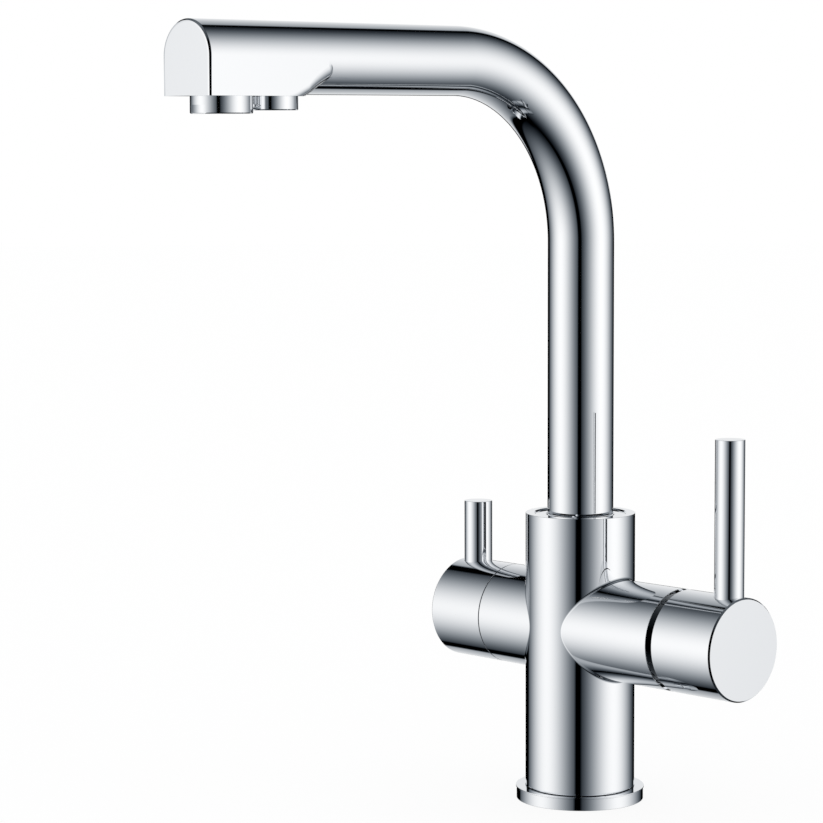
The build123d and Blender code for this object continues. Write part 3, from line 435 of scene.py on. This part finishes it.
def body_casting():
    """The column and arms with their creases filleted, then bored."""
    body = turned("column_and_arms", [
        (0, 0), (COLUMN_FOOT_R, 0), (COLUMN_FOOT_R, COLUMN_FOOT_H), (RELIEF_R, COLUMN_FOOT_H),
        (RELIEF_R, RELIEF_LOW), (COLUMN_R, RELIEF_HIGH), (COLUMN_R, COLUMN_TOP, ROUND_EDGE),
        (0, COLUMN_TOP)])
    for side, end in ((1, MIXER_ARM_END), (-1, FILTER_ARM_END)):
        arm = turned("arm", [(0, 0), (ARM_R, 0), (ARM_R, end, ROUND_EDGE), (0, end)],
                     arm_axis, (side, 0, 0))
        joined(body, arm, "UNION")
        joined(body, crease_bead(side), "UNION")
    joined(body, turned("bore", [
        (0, NOSE_FLOOR), (NOSE_R, NOSE_FLOOR), (NOSE_R, SPIGOT_FLOOR), (SPIGOT_R, SPIGOT_FLOOR),
        (SPIGOT_R, SEAT_FLOOR), (SEAT_R, SEAT_FLOOR), (SEAT_R, COLUMN_TOP - RIM_CHAMFER, CRISP_EDGE),
        (SEAT_R + RIM_CHAMFER + PAST, COLUMN_TOP + PAST), (0, COLUMN_TOP + PAST)]),
        "DIFFERENCE")
    joined(body, turned("bore", [
        (0, CARTRIDGE_FLOOR), (CARTRIDGE_R, CARTRIDGE_FLOOR), (CARTRIDGE_R, NUT_FLOOR),
        (NUT_R, NUT_FLOOR), (NUT_R, MIXER_ARM_END + PAST), (0, MIXER_ARM_END + PAST)],
        arm_axis, (1, 0, 0)), "DIFFERENCE")
    joined(body, turned("bore", [
        (0, VALVE_FLOOR), (VALVE_R, VALVE_FLOOR), (VALVE_R, HEADWORK_FLOOR),
        (HEADWORK_R, HEADWORK_FLOOR), (HEADWORK_R, FILTER_ARM_END + PAST), (0, FILTER_ARM_END + PAST)],
        arm_axis, (-1, 0, 0)), "DIFFERENCE")
    for x, y, radius, depth in DECK_HOLES:
        hole = turned("hole", [
            (0, -PAST), (radius + HOLE_CHAMFER + PAST, -PAST), (radius, HOLE_CHAMFER), (radius, depth),
            (0, depth)],
            (x, y, 0), steps=SMALL_STEPS)
        joined(body, hole, "DIFFERENCE")
    return body


CHROME = (0.945, 0.955, 0.97, 1)
HAZE_SCALE, HAZE_DETAIL = 60.0, 3.0
HAZE_LOW, HAZE_HIGH = 0.015, 0.04


def chrome_plate(name="chrome_plate", colour=CHROME):
    """Polished chrome over brass: a cool mirror with the faintest haze left by the buffing wheel."""
    finish = bpy.data.materials.new(name)
    finish.use_nodes = True
    tree = finish.node_tree
    shader = tree.nodes["Principled BSDF"]
    shader.inputs["Metallic"].default_value = 1.0
    shader.inputs["Base Color"].default_value = colour
    place = tree.nodes.new("ShaderNodeTexCoord")
    haze = tree.nodes.new("ShaderNodeTexNoise")
    haze.inputs["Scale"].default_value = HAZE_SCALE
    haze.inputs["Detail"].default_value = HAZE_DETAIL
    tree.links.new(place.outputs["Object"], haze.inputs["Vector"])
    spread = tree.nodes.new("ShaderNodeMapRange")
    spread.inputs["To Min"].default_value = HAZE_LOW
    spread.inputs["To Max"].default_value = HAZE_HIGH
    tree.links.new(haze.outputs["Fac"], spread.inputs["Value"])
    tree.links.new(spread.outputs["Result"], shader.inputs["Roughness"])
    return finish


def fitted(piece, body, node, finish):
    """Polishes a new piece, gives it its finish and puts it in its node's place on its body."""
    polished(piece)
    piece.data.materials.append(finish)
    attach(piece, body)
    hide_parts(node)


chrome = chrome_plate()
fitted(body_casting(), "tap_body", "body_casting", chrome)

# ---------------------------------------------------------------------------
# Base ring. A turned brass ring, chromed, that the column's shoulder clamps to
# the deck. It has a slightly proud lip and a groove below for the gasket.
# ---------------------------------------------------------------------------
BASE_R, BASE_H = 27.1, 5.5
LIP_R, LIP_H, LIP_FLARE = 27.45, 0.6, 0.15
BASE_INNER_R, BASE_SEAT_R = 21.55, 23.35
GROOVE_IN, GROOVE_OUT, GROOVE_H = 23.2, 25.5, 1.2

fitted(turned("base_ring_polished", [
    (BASE_INNER_R, 0), (GROOVE_IN, 0), (GROOVE_IN, GROOVE_H), (GROOVE_OUT, GROOVE_H), (GROOVE_OUT, 0),
    (BASE_R, 0, ROUND_EDGE), (BASE_R, BASE_H - LIP_H, CRISP_EDGE),
    (LIP_R, BASE_H - LIP_H + LIP_FLARE, CRISP_EDGE), (LIP_R, BASE_H, CRISP_EDGE),
    (BASE_SEAT_R, BASE_H, CRISP_EDGE), (BASE_SEAT_R, COLUMN_FOOT_H), (BASE_INNER_R, COLUMN_FOOT_H)]),
    "tap_body", "base_ring", chrome)

# ---------------------------------------------------------------------------
# Insert ring. A chromed ring screwed into the column's mouth, just below its
# rim, which keeps the swivelling spout down on its slide rings.
# ---------------------------------------------------------------------------
INSERT_LOW, INSERT_HIGH = 115.1, 122.75
INSERT_IN, INSERT_OUT = 14.35, 19.15
INSERT_EDGE, INSERT_CHAMFER = 0.1, 0.45

fitted(turned("insert_ring_polished", [
    (INSERT_IN, INSERT_LOW), (INSERT_OUT, INSERT_LOW), (INSERT_OUT, INSERT_HIGH, INSERT_EDGE),
    (INSERT_IN + INSERT_CHAMFER, INSERT_HIGH, SOFT_EDGE),
    (INSERT_IN, INSERT_HIGH - INSERT_CHAMFER, SOFT_EDGE)]),
    "tap_body", "insert_ring", chrome)

# ---------------------------------------------------------------------------
# Spout tube. A brass tube bent once on a mandrel to a wide quarter turn, then
# ground and chromed: straight up from the column, and straight out to the head.
# ---------------------------------------------------------------------------
TUBE_R, TUBE_BORE_R = 14.0, 12.5
TUBE_LOW = 114.0
SPOUT_HEIGHT = 313.5
BEND_R = 75.0
HEAD_REAR = -145.0
BEND_STEPS = 72
TUBE_STEPS = 240


def tube_frames():
    """Places along the spout's centre line, each with the direction square to it in its plane."""
    bend_start = SPOUT_HEIGHT - BEND_R
    frames = [(Vector((0, 0, TUBE_LOW)), Vector((0, 1, 0)))]
    for step in range(BEND_STEPS + 1):
        turn = math.radians(90) * step / BEND_STEPS
        outward = Vector((0, math.cos(turn), math.sin(turn)))
        frames.append((Vector((0, -BEND_R, bend_start)) + outward * BEND_R, outward))
    frames.append((Vector((0, HEAD_REAR, SPOUT_HEIGHT)), Vector((0, 0, 1))))
    return frames


def tube_ring(centre, outward, radius):
    """A ring of points round the spout's centre line."""
    sideways = Vector((1, 0, 0))
    return [centre + (sideways * math.cos(2 * math.pi * k / TUBE_STEPS)
                      + outward * math.sin(2 * math.pi * k / TUBE_STEPS)) * radius
            for k in range(TUBE_STEPS)]


def bent_stretch(radius):
    """The bend's exact face at a radius from the centre line."""
    middle = np.array((0, -BEND_R, SPOUT_HEIGHT - BEND_R))

    def exact(places):
        offset = places - middle
        reach = np.hypot(offset[:, 1], offset[:, 2])
        on_line = offset * [0, 1, 1] * (BEND_R / np.maximum(reach, NOTHING))[:, None]
        gap = offset - on_line
        off = np.abs(np.linalg.norm(gap, axis=1) - radius)
        off[(offset[:, 1] < -SAME_PLACE) | (offset[:, 2] < -SAME_PLACE)] = NEARBY
        return off, gap
    return exact


def spout_tube():
    """The tube's outside and its bore as one skin."""
    frames = tube_frames()
    outside = [tube_ring(*at, TUBE_R) for at in frames]
    bore = [tube_ring(*at, TUBE_BORE_R) for at in frames[::-1]]
    tube = ringed("spout_tube_polished", outside + bore, closed=True)
    stretches = []
    for radius in (TUBE_R, TUBE_BORE_R):
        side = Vector((1, 0))
        for start, axis, low, high in (((0, 0, 0), (0, 0, 1), TUBE_LOW, SPOUT_HEIGHT - BEND_R),
                                       ((0, 0, SPOUT_HEIGHT), (0, -1, 0), BEND_R, -HEAD_REAR)):
            ends = Vector((radius, low)), Vector((radius, high))
            stretches.append(turned_stretch(np.array(start), np.array(axis), *ends, side, side))
        stretches.append(bent_stretch(radius))
    exact_faces[tube.name] = stretches
    return tube


fitted(spout_tube(), "spout", "spout_tube", chrome)

# ---------------------------------------------------------------------------
# Outlet head. A chromed casting soldered to the tube's end: round above, with
# straight cheeks and a flat underside that ramps up into the round tube.
# ---------------------------------------------------------------------------
HEAD_END = -213.0
HEAD_DROP = 14.6
RAMP_START, RAMP_END, RAMP_RISE = 49.2, 61.1, 5.5
RAMP_L = RAMP_END - RAMP_START
RAMP_SLOPE = math.atan2(RAMP_RISE, RAMP_L)
RAMP_OVERRUN = 1.6
ROLL_LOW, ROLL_HIGH = 4.2, 6.4
ROLL_FROM = 1.5
SHOULDER_R = 6.5
RAMP_STEPS, ARC_STEPS, ROLL_STEPS = 24, 12, 16
BAR_START = 47.3
# the end face rolls off a little towards its rim, and a break leads from there to the cheeks
ROLL_OFF, ROLL_OFF_L = 1.5, 0.09
FACE_BREAK, CHEEK_BREAK, CHEEK_SHARE = 0.6, 0.1, 2.5
ROLL_OFF_NORMAL, BREAK_NORMAL = (0.24, -0.97), (0.72, -0.69)
WATERWAY_R, WATERWAY_LIFT, END_WALL = 10.5, 1.5, 4.0
MAIN_Y, MAIN_PORT_R = -196.2, 10.95
FILTERED_Y, FILTERED_PORT_R = -171.1, 8.95
PORT_DEPTH = 5.0
PORT_STEPS = 120
HEAD_BOTTOM = SPOUT_HEIGHT - HEAD_DROP

shoulder_y = HEAD_END + RAMP_END - SHOULDER_R * math.sin(RAMP_SLOPE)
shoulder_z = HEAD_BOTTOM + RAMP_RISE + SHOULDER_R * math.cos(RAMP_SLOPE)


def head_section(y, inset):
    """The head's D-shaped outline, round above and straight sided below, drawn in by an inset."""
    radius = TUBE_R - inset
    crown = [(radius * math.cos(turn), radius * math.sin(turn))
             for turn in (2 * math.pi * k / TUBE_STEPS for k in range(TUBE_STEPS // 2 + 1))]
    outline = crown + [(-radius, -HEAD_DROP), (radius, -HEAD_DROP)]
    return [Vector((x, y, SPOUT_HEIGHT + z)) for x, z in outline]


def slab_profile():
    """The outline of what lies above the ramp and before the shoulder, as (place, normal, roll)."""
    slope_normal = Vector((math.sin(RAMP_SLOPE), -math.cos(RAMP_SLOPE)))
    profile = []
    for step in range(RAMP_STEPS + 1):
        back = (1 - step / RAMP_STEPS) * RAMP_OVERRUN * RAMP_L
        share = min(back / RAMP_L, 1)
        roll = ROLL_HIGH + (ROLL_LOW - ROLL_HIGH) * share ** 2
        middle = Vector((shoulder_y - back * math.cos(RAMP_SLOPE),
                         shoulder_z - back * math.sin(RAMP_SLOPE)))
        profile.append((middle + slope_normal * SHOULDER_R, slope_normal, roll))
    for step in range(1, ARC_STEPS + 1):
        turn = (RAMP_SLOPE - math.pi / 2) * (1 - step / ARC_STEPS)
        normal = Vector((math.cos(turn), math.sin(turn)))
        profile.append((Vector((shoulder_y, shoulder_z)) + normal * SHOULDER_R, normal, ROLL_HIGH))
    over_head = Vector((shoulder_y + SHOULDER_R, SPOUT_HEIGHT + 2 * TUBE_R))
    profile.append((over_head, Vector((1, 0)), ROLL_HIGH))
    return profile


def slab_ring(side, turn):
    """One outline of the slab, where its side edges have rolled over by an angle from the cheek."""
    ring = []
    for place, normal, roll in slab_profile():
        inset = place - normal * roll * (1 - math.sin(turn))
        ring.append(Vector((side * (TUBE_R - roll * (1 - math.cos(turn))), inset.x, inset.y)))
    return ring


def rolled_face(rings):
    """The face skinned over rings of points, with normals from the points on either side of each."""
    grid = np.array([[tuple(point) for point in ring] for ring in rings])
    normals = np.cross(np.gradient(grid, axis=0), np.gradient(grid, axis=1)).reshape(-1, 3)
    normals /= np.maximum(np.linalg.norm(normals, axis=1), NOTHING)[:, None]
    grid = grid.reshape(-1, 3)

    def exact(places):
        near = np.array([np.argmin(((grid - place) ** 2).sum(axis=1)) for place in places])
        gap = places - grid[near]
        off = np.abs(np.einsum("ij,ij->i", gap, normals[near]))
        off[np.linalg.norm(gap, axis=1) > NEARBY] = NEARBY
        return off, normals[near]
    return exact


def cheek_face(places):
    """How far places lie off the head's flat cheeks, and the cheeks' normal."""
    return np.abs(np.abs(places[:, 0]) - TUBE_R), np.sign(places[:, :1]) * [[1.0, 0, 0]]


def outlet_head():
    """The D section cut off at the rolled ramp, joined to a round bar, then bored for the water."""
    break_start = HEAD_END + ROLL_OFF_L
    break_end = HEAD_END + ROLL_OFF_L + FACE_BREAK
    cheek_start = HEAD_END + ROLL_OFF_L + FACE_BREAK + CHEEK_SHARE * CHEEK_BREAK
    sections = [head_section(HEAD_END, ROLL_OFF), head_section(break_start, FACE_BREAK + CHEEK_BREAK),
                head_section(break_end, CHEEK_BREAK), head_section(cheek_start, 0),
                head_section(HEAD_REAR, 0)]
    head = ringed("outlet_head_polished", sections, closed=False)
    turns = [math.radians(ROLL_FROM + (90 - ROLL_FROM) * k / ROLL_STEPS) for k in range(ROLL_STEPS + 1)]
    left, right = [[slab_ring(side, turn) for turn in turns] for side in (-1, 1)]
    rings = [[point + Vector((-PAST, 0, 0)) for point in left[0]]] + left
    rings += right[::-1] + [[point + Vector((PAST, 0, 0)) for point in right[0]]]
    far = [Vector((0, HEAD_END - TUBE_R, z))
           for z in (SPOUT_HEIGHT + 2 * TUBE_R, SPOUT_HEIGHT - 2 * TUBE_R)]
    rings = [ring + [Vector((ring[0].x, point.y, point.z)) for point in far] for ring in rings]
    joined(head, ringed("slab", rings, closed=False), "INTERSECT")
    bar = ringed("bar", [tube_ring(Vector((0, y, SPOUT_HEIGHT)), Vector((0, 0, 1)), TUBE_R)
                         for y in (HEAD_END + BAR_START, HEAD_REAR)], closed=False)
    joined(head, bar, "UNION")
    waterway_end = HEAD_REAR - HEAD_END + PAST
    joined(head, turned("waterway", [
        (0, END_WALL), (WATERWAY_R, END_WALL), (WATERWAY_R, waterway_end), (0, waterway_end)],
        (0, HEAD_END, SPOUT_HEIGHT + WATERWAY_LIFT), (0, 1, 0), PORT_STEPS), "DIFFERENCE")
    for y, radius in ((MAIN_Y, MAIN_PORT_R), (FILTERED_Y, FILTERED_PORT_R)):
        port = turned("port", [(0, -PAST), (radius, -PAST), (radius, PORT_DEPTH), (0, PORT_DEPTH)],
                      (0, y, HEAD_BOTTOM), steps=PORT_STEPS)
        joined(head, port, "DIFFERENCE")
    face = Vector((TUBE_R - ROLL_OFF, 0))
    skin = Vector((TUBE_R - FACE_BREAK - CHEEK_BREAK, ROLL_OFF_L))
    slope = Vector((TUBE_R - CHEEK_BREAK, ROLL_OFF_L + FACE_BREAK))
    crown = Vector((TUBE_R, ROLL_OFF_L + FACE_BREAK + CHEEK_SHARE * CHEEK_BREAK))
    rear = Vector((TUBE_R, HEAD_REAR - HEAD_END))
    ahead, side = Vector((0, -1)), Vector((1, 0))
    rolled_off, broken = Vector(ROLL_OFF_NORMAL), Vector(BREAK_NORMAL)
    start, axis = np.array((0, HEAD_END, SPOUT_HEIGHT)), np.array((0, 1, 0))
    exact_faces[head.name] += [
        turned_stretch(start, axis, face, skin, ahead, rolled_off),
        turned_stretch(start, axis, skin, slope, broken, broken),
        turned_stretch(start, axis, slope, crown, broken, side),
        turned_stretch(start, axis, crown, rear, side, side),
        rolled_face(left), rolled_face(right), cheek_face]
    return head


fitted(outlet_head(), "spout", "outlet_head", chrome)

# ---------------------------------------------------------------------------
# Outlets. Two chromed brass nozzles screwed up into the head, the mixed water's
# and the smaller filtered one, each with two flats for a spanner.
# ---------------------------------------------------------------------------
STUB_TOP = 4.6
NOZZLE_CHAMFER = 0.35
MOUTH_LIP, MOUTH_LIP_H, MOUTH_EDGE = 0.9, 1, 0.1
NOZZLE_STEPS = 240


def block(name, x, y, z):
    """A plain box from three (low, high) pairs."""
    corners = (x[0], y[0]), (x[1], y[0]), (x[1], y[1]), (x[0], y[1])
    rings = [[Vector((a, b, height)) for a, b in corners] for height in z]
    return ringed(name, rings, closed=False)


def outlet_housing(name, y, radius, drop, thread_r, bore_r, flats, flat_h):
    """A nozzle: threaded stub, round skirt, inner lip, and two spanner flats."""
    housing = turned(name, [
        (thread_r, STUB_TOP), (thread_r, 0), (radius, 0, CRISP_EDGE),
        (radius, -drop + NOZZLE_CHAMFER, SOFT_EDGE), (radius - NOZZLE_CHAMFER, -drop, SOFT_EDGE),
        (bore_r - MOUTH_LIP, -drop, MOUTH_EDGE), (bore_r - MOUTH_LIP, MOUTH_LIP_H - drop),
        (bore_r, MOUTH_LIP_H - drop), (bore_r, STUB_TOP)], (0, y, HEAD_BOTTOM), steps=NOZZLE_STEPS)
    for side in (-1, 1):
        near, far = sorted((y + side * flats / 2, y + side * 2 * radius))
        flat = block("flat", (-2 * radius, 2 * radius), (near, far),
                     (HEAD_BOTTOM - 2 * drop, HEAD_BOTTOM - drop + flat_h))
        joined(housing, flat, "DIFFERENCE")
    return housing


main_outlet = outlet_housing("main_outlet_polished", MAIN_Y, radius=11.9, drop=6.6,
                             thread_r=10.9, bore_r=9.6, flats=22.0, flat_h=3.3)
fitted(main_outlet, "spout", "main_outlet_housing", chrome)
filtered_outlet = outlet_housing("filtered_outlet_polished", FILTERED_Y, radius=9.9, drop=5.3,
                                 thread_r=8.9, bore_r=7.7, flats=18.2, flat_h=2.2)
fitted(filtered_outlet, "spout", "filtered_outlet_housing", chrome)

# ---------------------------------------------------------------------------
# Mixer cover ring. A chromed ring on the arm's mouth, made near black as painted shade for the
# groove. Its dome fills the groove before the lever cap and stays clear of the cap's skirt as it tilts.
# ---------------------------------------------------------------------------
DOME_MIDDLE, DOME_R, DOME_INNER_R = 47.0, 23.2, 21.5
NECK_R, MOUTH_R = 19.5, 13.3
SLEEVE_R, SLEEVE_WALL, SLEEVE_START = 18.95, 1.6, 52.1
DOME_STEPS = 16
# painted shade: the cover ring's chrome is near black to stand for the shade deep in the groove before
# the lever cap
PAINTED_SHADE_CHROME = (0.13, 0.135, 0.14, 1)


def dome_points(radius, low_r, high_r):
    """Outline points along the dome between two distances from the arm's axis."""
    low, high = math.asin(low_r / radius), math.asin(high_r / radius)
    turns = [low + (high - low) * k / DOME_STEPS for k in range(DOME_STEPS + 1)]
    return [(radius * math.sin(turn), DOME_MIDDLE + radius * math.cos(turn)) for turn in turns]


fitted(turned("mixer_cover_polished",
              [(SLEEVE_R - SLEEVE_WALL, SLEEVE_START), (SLEEVE_R, SLEEVE_START),
               (SLEEVE_R, MIXER_ARM_END), (NECK_R, MIXER_ARM_END)]
              + dome_points(DOME_R, NECK_R, MOUTH_R)
              + dome_points(DOME_INNER_R, MOUTH_R, SLEEVE_R - SLEEVE_WALL), arm_axis, (1, 0, 0)),
       "tap_body", "mixer_cover_ring", chrome_plate("painted_shade_chrome", PAINTED_SHADE_CHROME))

# ---------------------------------------------------------------------------
# Mixer lever. A chromed cap on the cartridge's stem, with a plain rod screwed
# into a blind seat in its top and a set screw in its underside.
# ---------------------------------------------------------------------------
CAP_START, CAP_END, CAP_SKIRT_END = 60.0, 91.2, 74.0
SKIRT_R = 20.05
END_CHAMFER_L, END_CHAMFER_IN = 0.74, 0.6
MIXER_ROD_X, MIXER_ROD_TOP = 83.2, 160.8
CAP_SCREW_X = 80.0
ROD_R, ROD_STEPS = 6.1, 180
ROD_FOOT_EDGE = 0.2
ROD_SINK, ROD_PLAY = 3.4, 0.05
ROD_SEAT_LOW = ARM_HEIGHT + ARM_R - ROD_SINK
STUB_R, STUB_L = 3.0, 4.0
SCREW_R = 2.55
STEM_HALF = 4.4


def rod_seat(x):
    """The blind seat for a lever rod, with the hole for its threaded stub."""
    hole_r, seat_r = STUB_R + ROD_PLAY, ROD_R + ROD_PLAY
    low, high = ROD_SEAT_LOW - STUB_L, ARM_HEIGHT + 2 * ARM_R
    return turned("seat", [
        (0, low), (hole_r, low), (hole_r, ROD_SEAT_LOW), (seat_r, ROD_SEAT_LOW), (seat_r, high),
        (0, high)], (x, 0, 0), steps=PORT_STEPS)


def screw_hole(x, top):
    """The set screw's hole in a handle's underside."""
    low = ARM_HEIGHT - 2 * ARM_R
    return turned("screw_hole", [(0, low), (SCREW_R, low), (SCREW_R, top), (0, top)],
                  (x, 0, 0), steps=SMALL_STEPS)


def handle_drum(name, side, start, end, start_edge, bore_r, bore_end):
    """A handle's round cup about the arms' axis: open towards the column, chamfered at its far end."""
    return turned(name, [
        (0, bore_end), (bore_r, bore_end), (bore_r, start, CRISP_EDGE), (ARM_R, start, start_edge),
        (ARM_R, end - END_CHAMFER_L, SOFT_EDGE), (ARM_R - END_CHAMFER_IN, end, SOFT_EDGE), (0, end)],
        arm_axis, (side, 0, 0))


def lever_rod(name, x, top):
    """A plain rod with a threaded stub below."""
    return turned(name, [
        (0, ROD_SEAT_LOW - STUB_L), (STUB_R, ROD_SEAT_LOW - STUB_L), (STUB_R, ROD_SEAT_LOW),
        (ROD_R, ROD_SEAT_LOW, ROD_FOOT_EDGE), (ROD_R, top, ROUND_EDGE), (0, top)],
        (x, 0, 0), steps=ROD_STEPS)


cap = handle_drum("mixer_cap_polished", 1, CAP_START, CAP_END, CRISP_EDGE, SKIRT_R, CAP_SKIRT_END)
joined(cap, rod_seat(MIXER_ROD_X), "DIFFERENCE")
joined(cap, screw_hole(CAP_SCREW_X, ARM_HEIGHT - STEM_HALF), "DIFFERENCE")
fitted(cap, "mixer_lever", "mixer_cap", chrome)
fitted(lever_rod("mixer_rod_polished", MIXER_ROD_X, MIXER_ROD_TOP),
       "mixer_lever", "mixer_lever_rod", chrome)

# ---------------------------------------------------------------------------
# Filter knob. A chromed cup pressed on the filter valve's splined spindle, with
# a shorter lever rod; it turns a quarter turn to let filtered water through.
# ---------------------------------------------------------------------------
KNOB_START, KNOB_END = 40.5, 69.9
KNOB_BORE_R, KNOB_FLOOR = 19.2, 46.5
FILTER_ROD_X, FILTER_ROD_TOP = 61.9, 122.9
KNOB_SCREW_X = 51.5

knob = handle_drum("filter_knob_polished", -1, KNOB_START, KNOB_END, ROUND_EDGE, KNOB_BORE_R,
                   KNOB_FLOOR)
joined(knob, rod_seat(-FILTER_ROD_X), "DIFFERENCE")
joined(knob, screw_hole(-KNOB_SCREW_X, ARM_HEIGHT - STEM_HALF), "DIFFERENCE")
fitted(knob, "filter_handle", "filter_knob", chrome)
fitted(lever_rod("filter_rod_polished", -FILTER_ROD_X, FILTER_ROD_TOP),
       "filter_handle", "filter_lever_rod", chrome)

# ---------------------------------------------------------------------------
# Inner pieces. Brass, rubber, moulded plastic, ceramic and steel parts, mostly
# hidden inside the castings, keep their own shapes and get their real finish.
# ---------------------------------------------------------------------------
GRAIN_DETAIL = 4.0
GRAIN_DEPTH = 0.0001


def plain_finish(name, colour, shade, roughness, metallic=0.0, grain=400.0, bump=0.05):
    """A finish whose colour drifts a little between two shades over a fine grain."""
    finish = bpy.data.materials.new(name)
    finish.use_nodes = True
    tree = finish.node_tree
    shader = tree.nodes["Principled BSDF"]
    shader.inputs["Metallic"].default_value = metallic
    shader.inputs["Roughness"].default_value = roughness
    place = tree.nodes.new("ShaderNodeTexCoord")
    noise = tree.nodes.new("ShaderNodeTexNoise")
    noise.inputs["Scale"].default_value = grain
    noise.inputs["Detail"].default_value = GRAIN_DETAIL
    tree.links.new(place.outputs["Object"], noise.inputs["Vector"])
    ramp = tree.nodes.new("ShaderNodeValToRGB")
    ramp.color_ramp.elements[0].color = (*colour, 1)
    ramp.color_ramp.elements[1].color = (*shade, 1)
    tree.links.new(noise.outputs["Fac"], ramp.inputs["Fac"])
    tree.links.new(ramp.outputs["Color"], shader.inputs["Base Color"])
    relief = tree.nodes.new("ShaderNodeBump")
    relief.inputs["Strength"].default_value = bump
    relief.inputs["Distance"].default_value = GRAIN_DEPTH
    tree.links.new(noise.outputs["Fac"], relief.inputs["Height"])
    tree.links.new(relief.outputs["Normal"], shader.inputs["Normal"])
    return finish


INNER_FINISHES = (
    (plain_finish("turned_brass", (0.78, 0.58, 0.27), (0.84, 0.66, 0.34), 0.28, metallic=1.0),
     ("spout_foot", "cartridge_nut", "mixer_stem", "filter_valve_body", "filter_spindle")),
    (plain_finish("black_rubber", (0.018, 0.018, 0.02), (0.035, 0.035, 0.037), 0.7, bump=0.2),
     ("base_gasket", "spout_o_rings", "main_outlet_washer", "filtered_outlet_washer",
      "cartridge_seals", "filter_valve_seal")),
    (plain_finish("moulded_plastic", (0.78, 0.78, 0.76), (0.82, 0.82, 0.81), 0.42),
     ("upper_slide_ring", "lower_slide_ring", "filtered_water_tube", "main_outlet_insert",
      "filtered_outlet_insert", "cartridge_base", "cartridge_housing", "cartridge_turret",
      "disc_carrier")),
    (plain_finish("lapped_ceramic", (0.86, 0.85, 0.81), (0.88, 0.87, 0.84), 0.18),
     ("fixed_ceramic_disc", "moving_ceramic_disc", "filter_fixed_disc", "filter_moving_disc")),
    (plain_finish("stainless_steel", (0.55, 0.55, 0.56), (0.62, 0.62, 0.63), 0.25, metallic=1.0),
     ("pivot_pin", "mixer_set_screw", "filter_set_screw")),
)
for finish, nodes in INNER_FINISHES:
    for node in nodes:
        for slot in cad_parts[node].material_slots:
            slot.material = finish
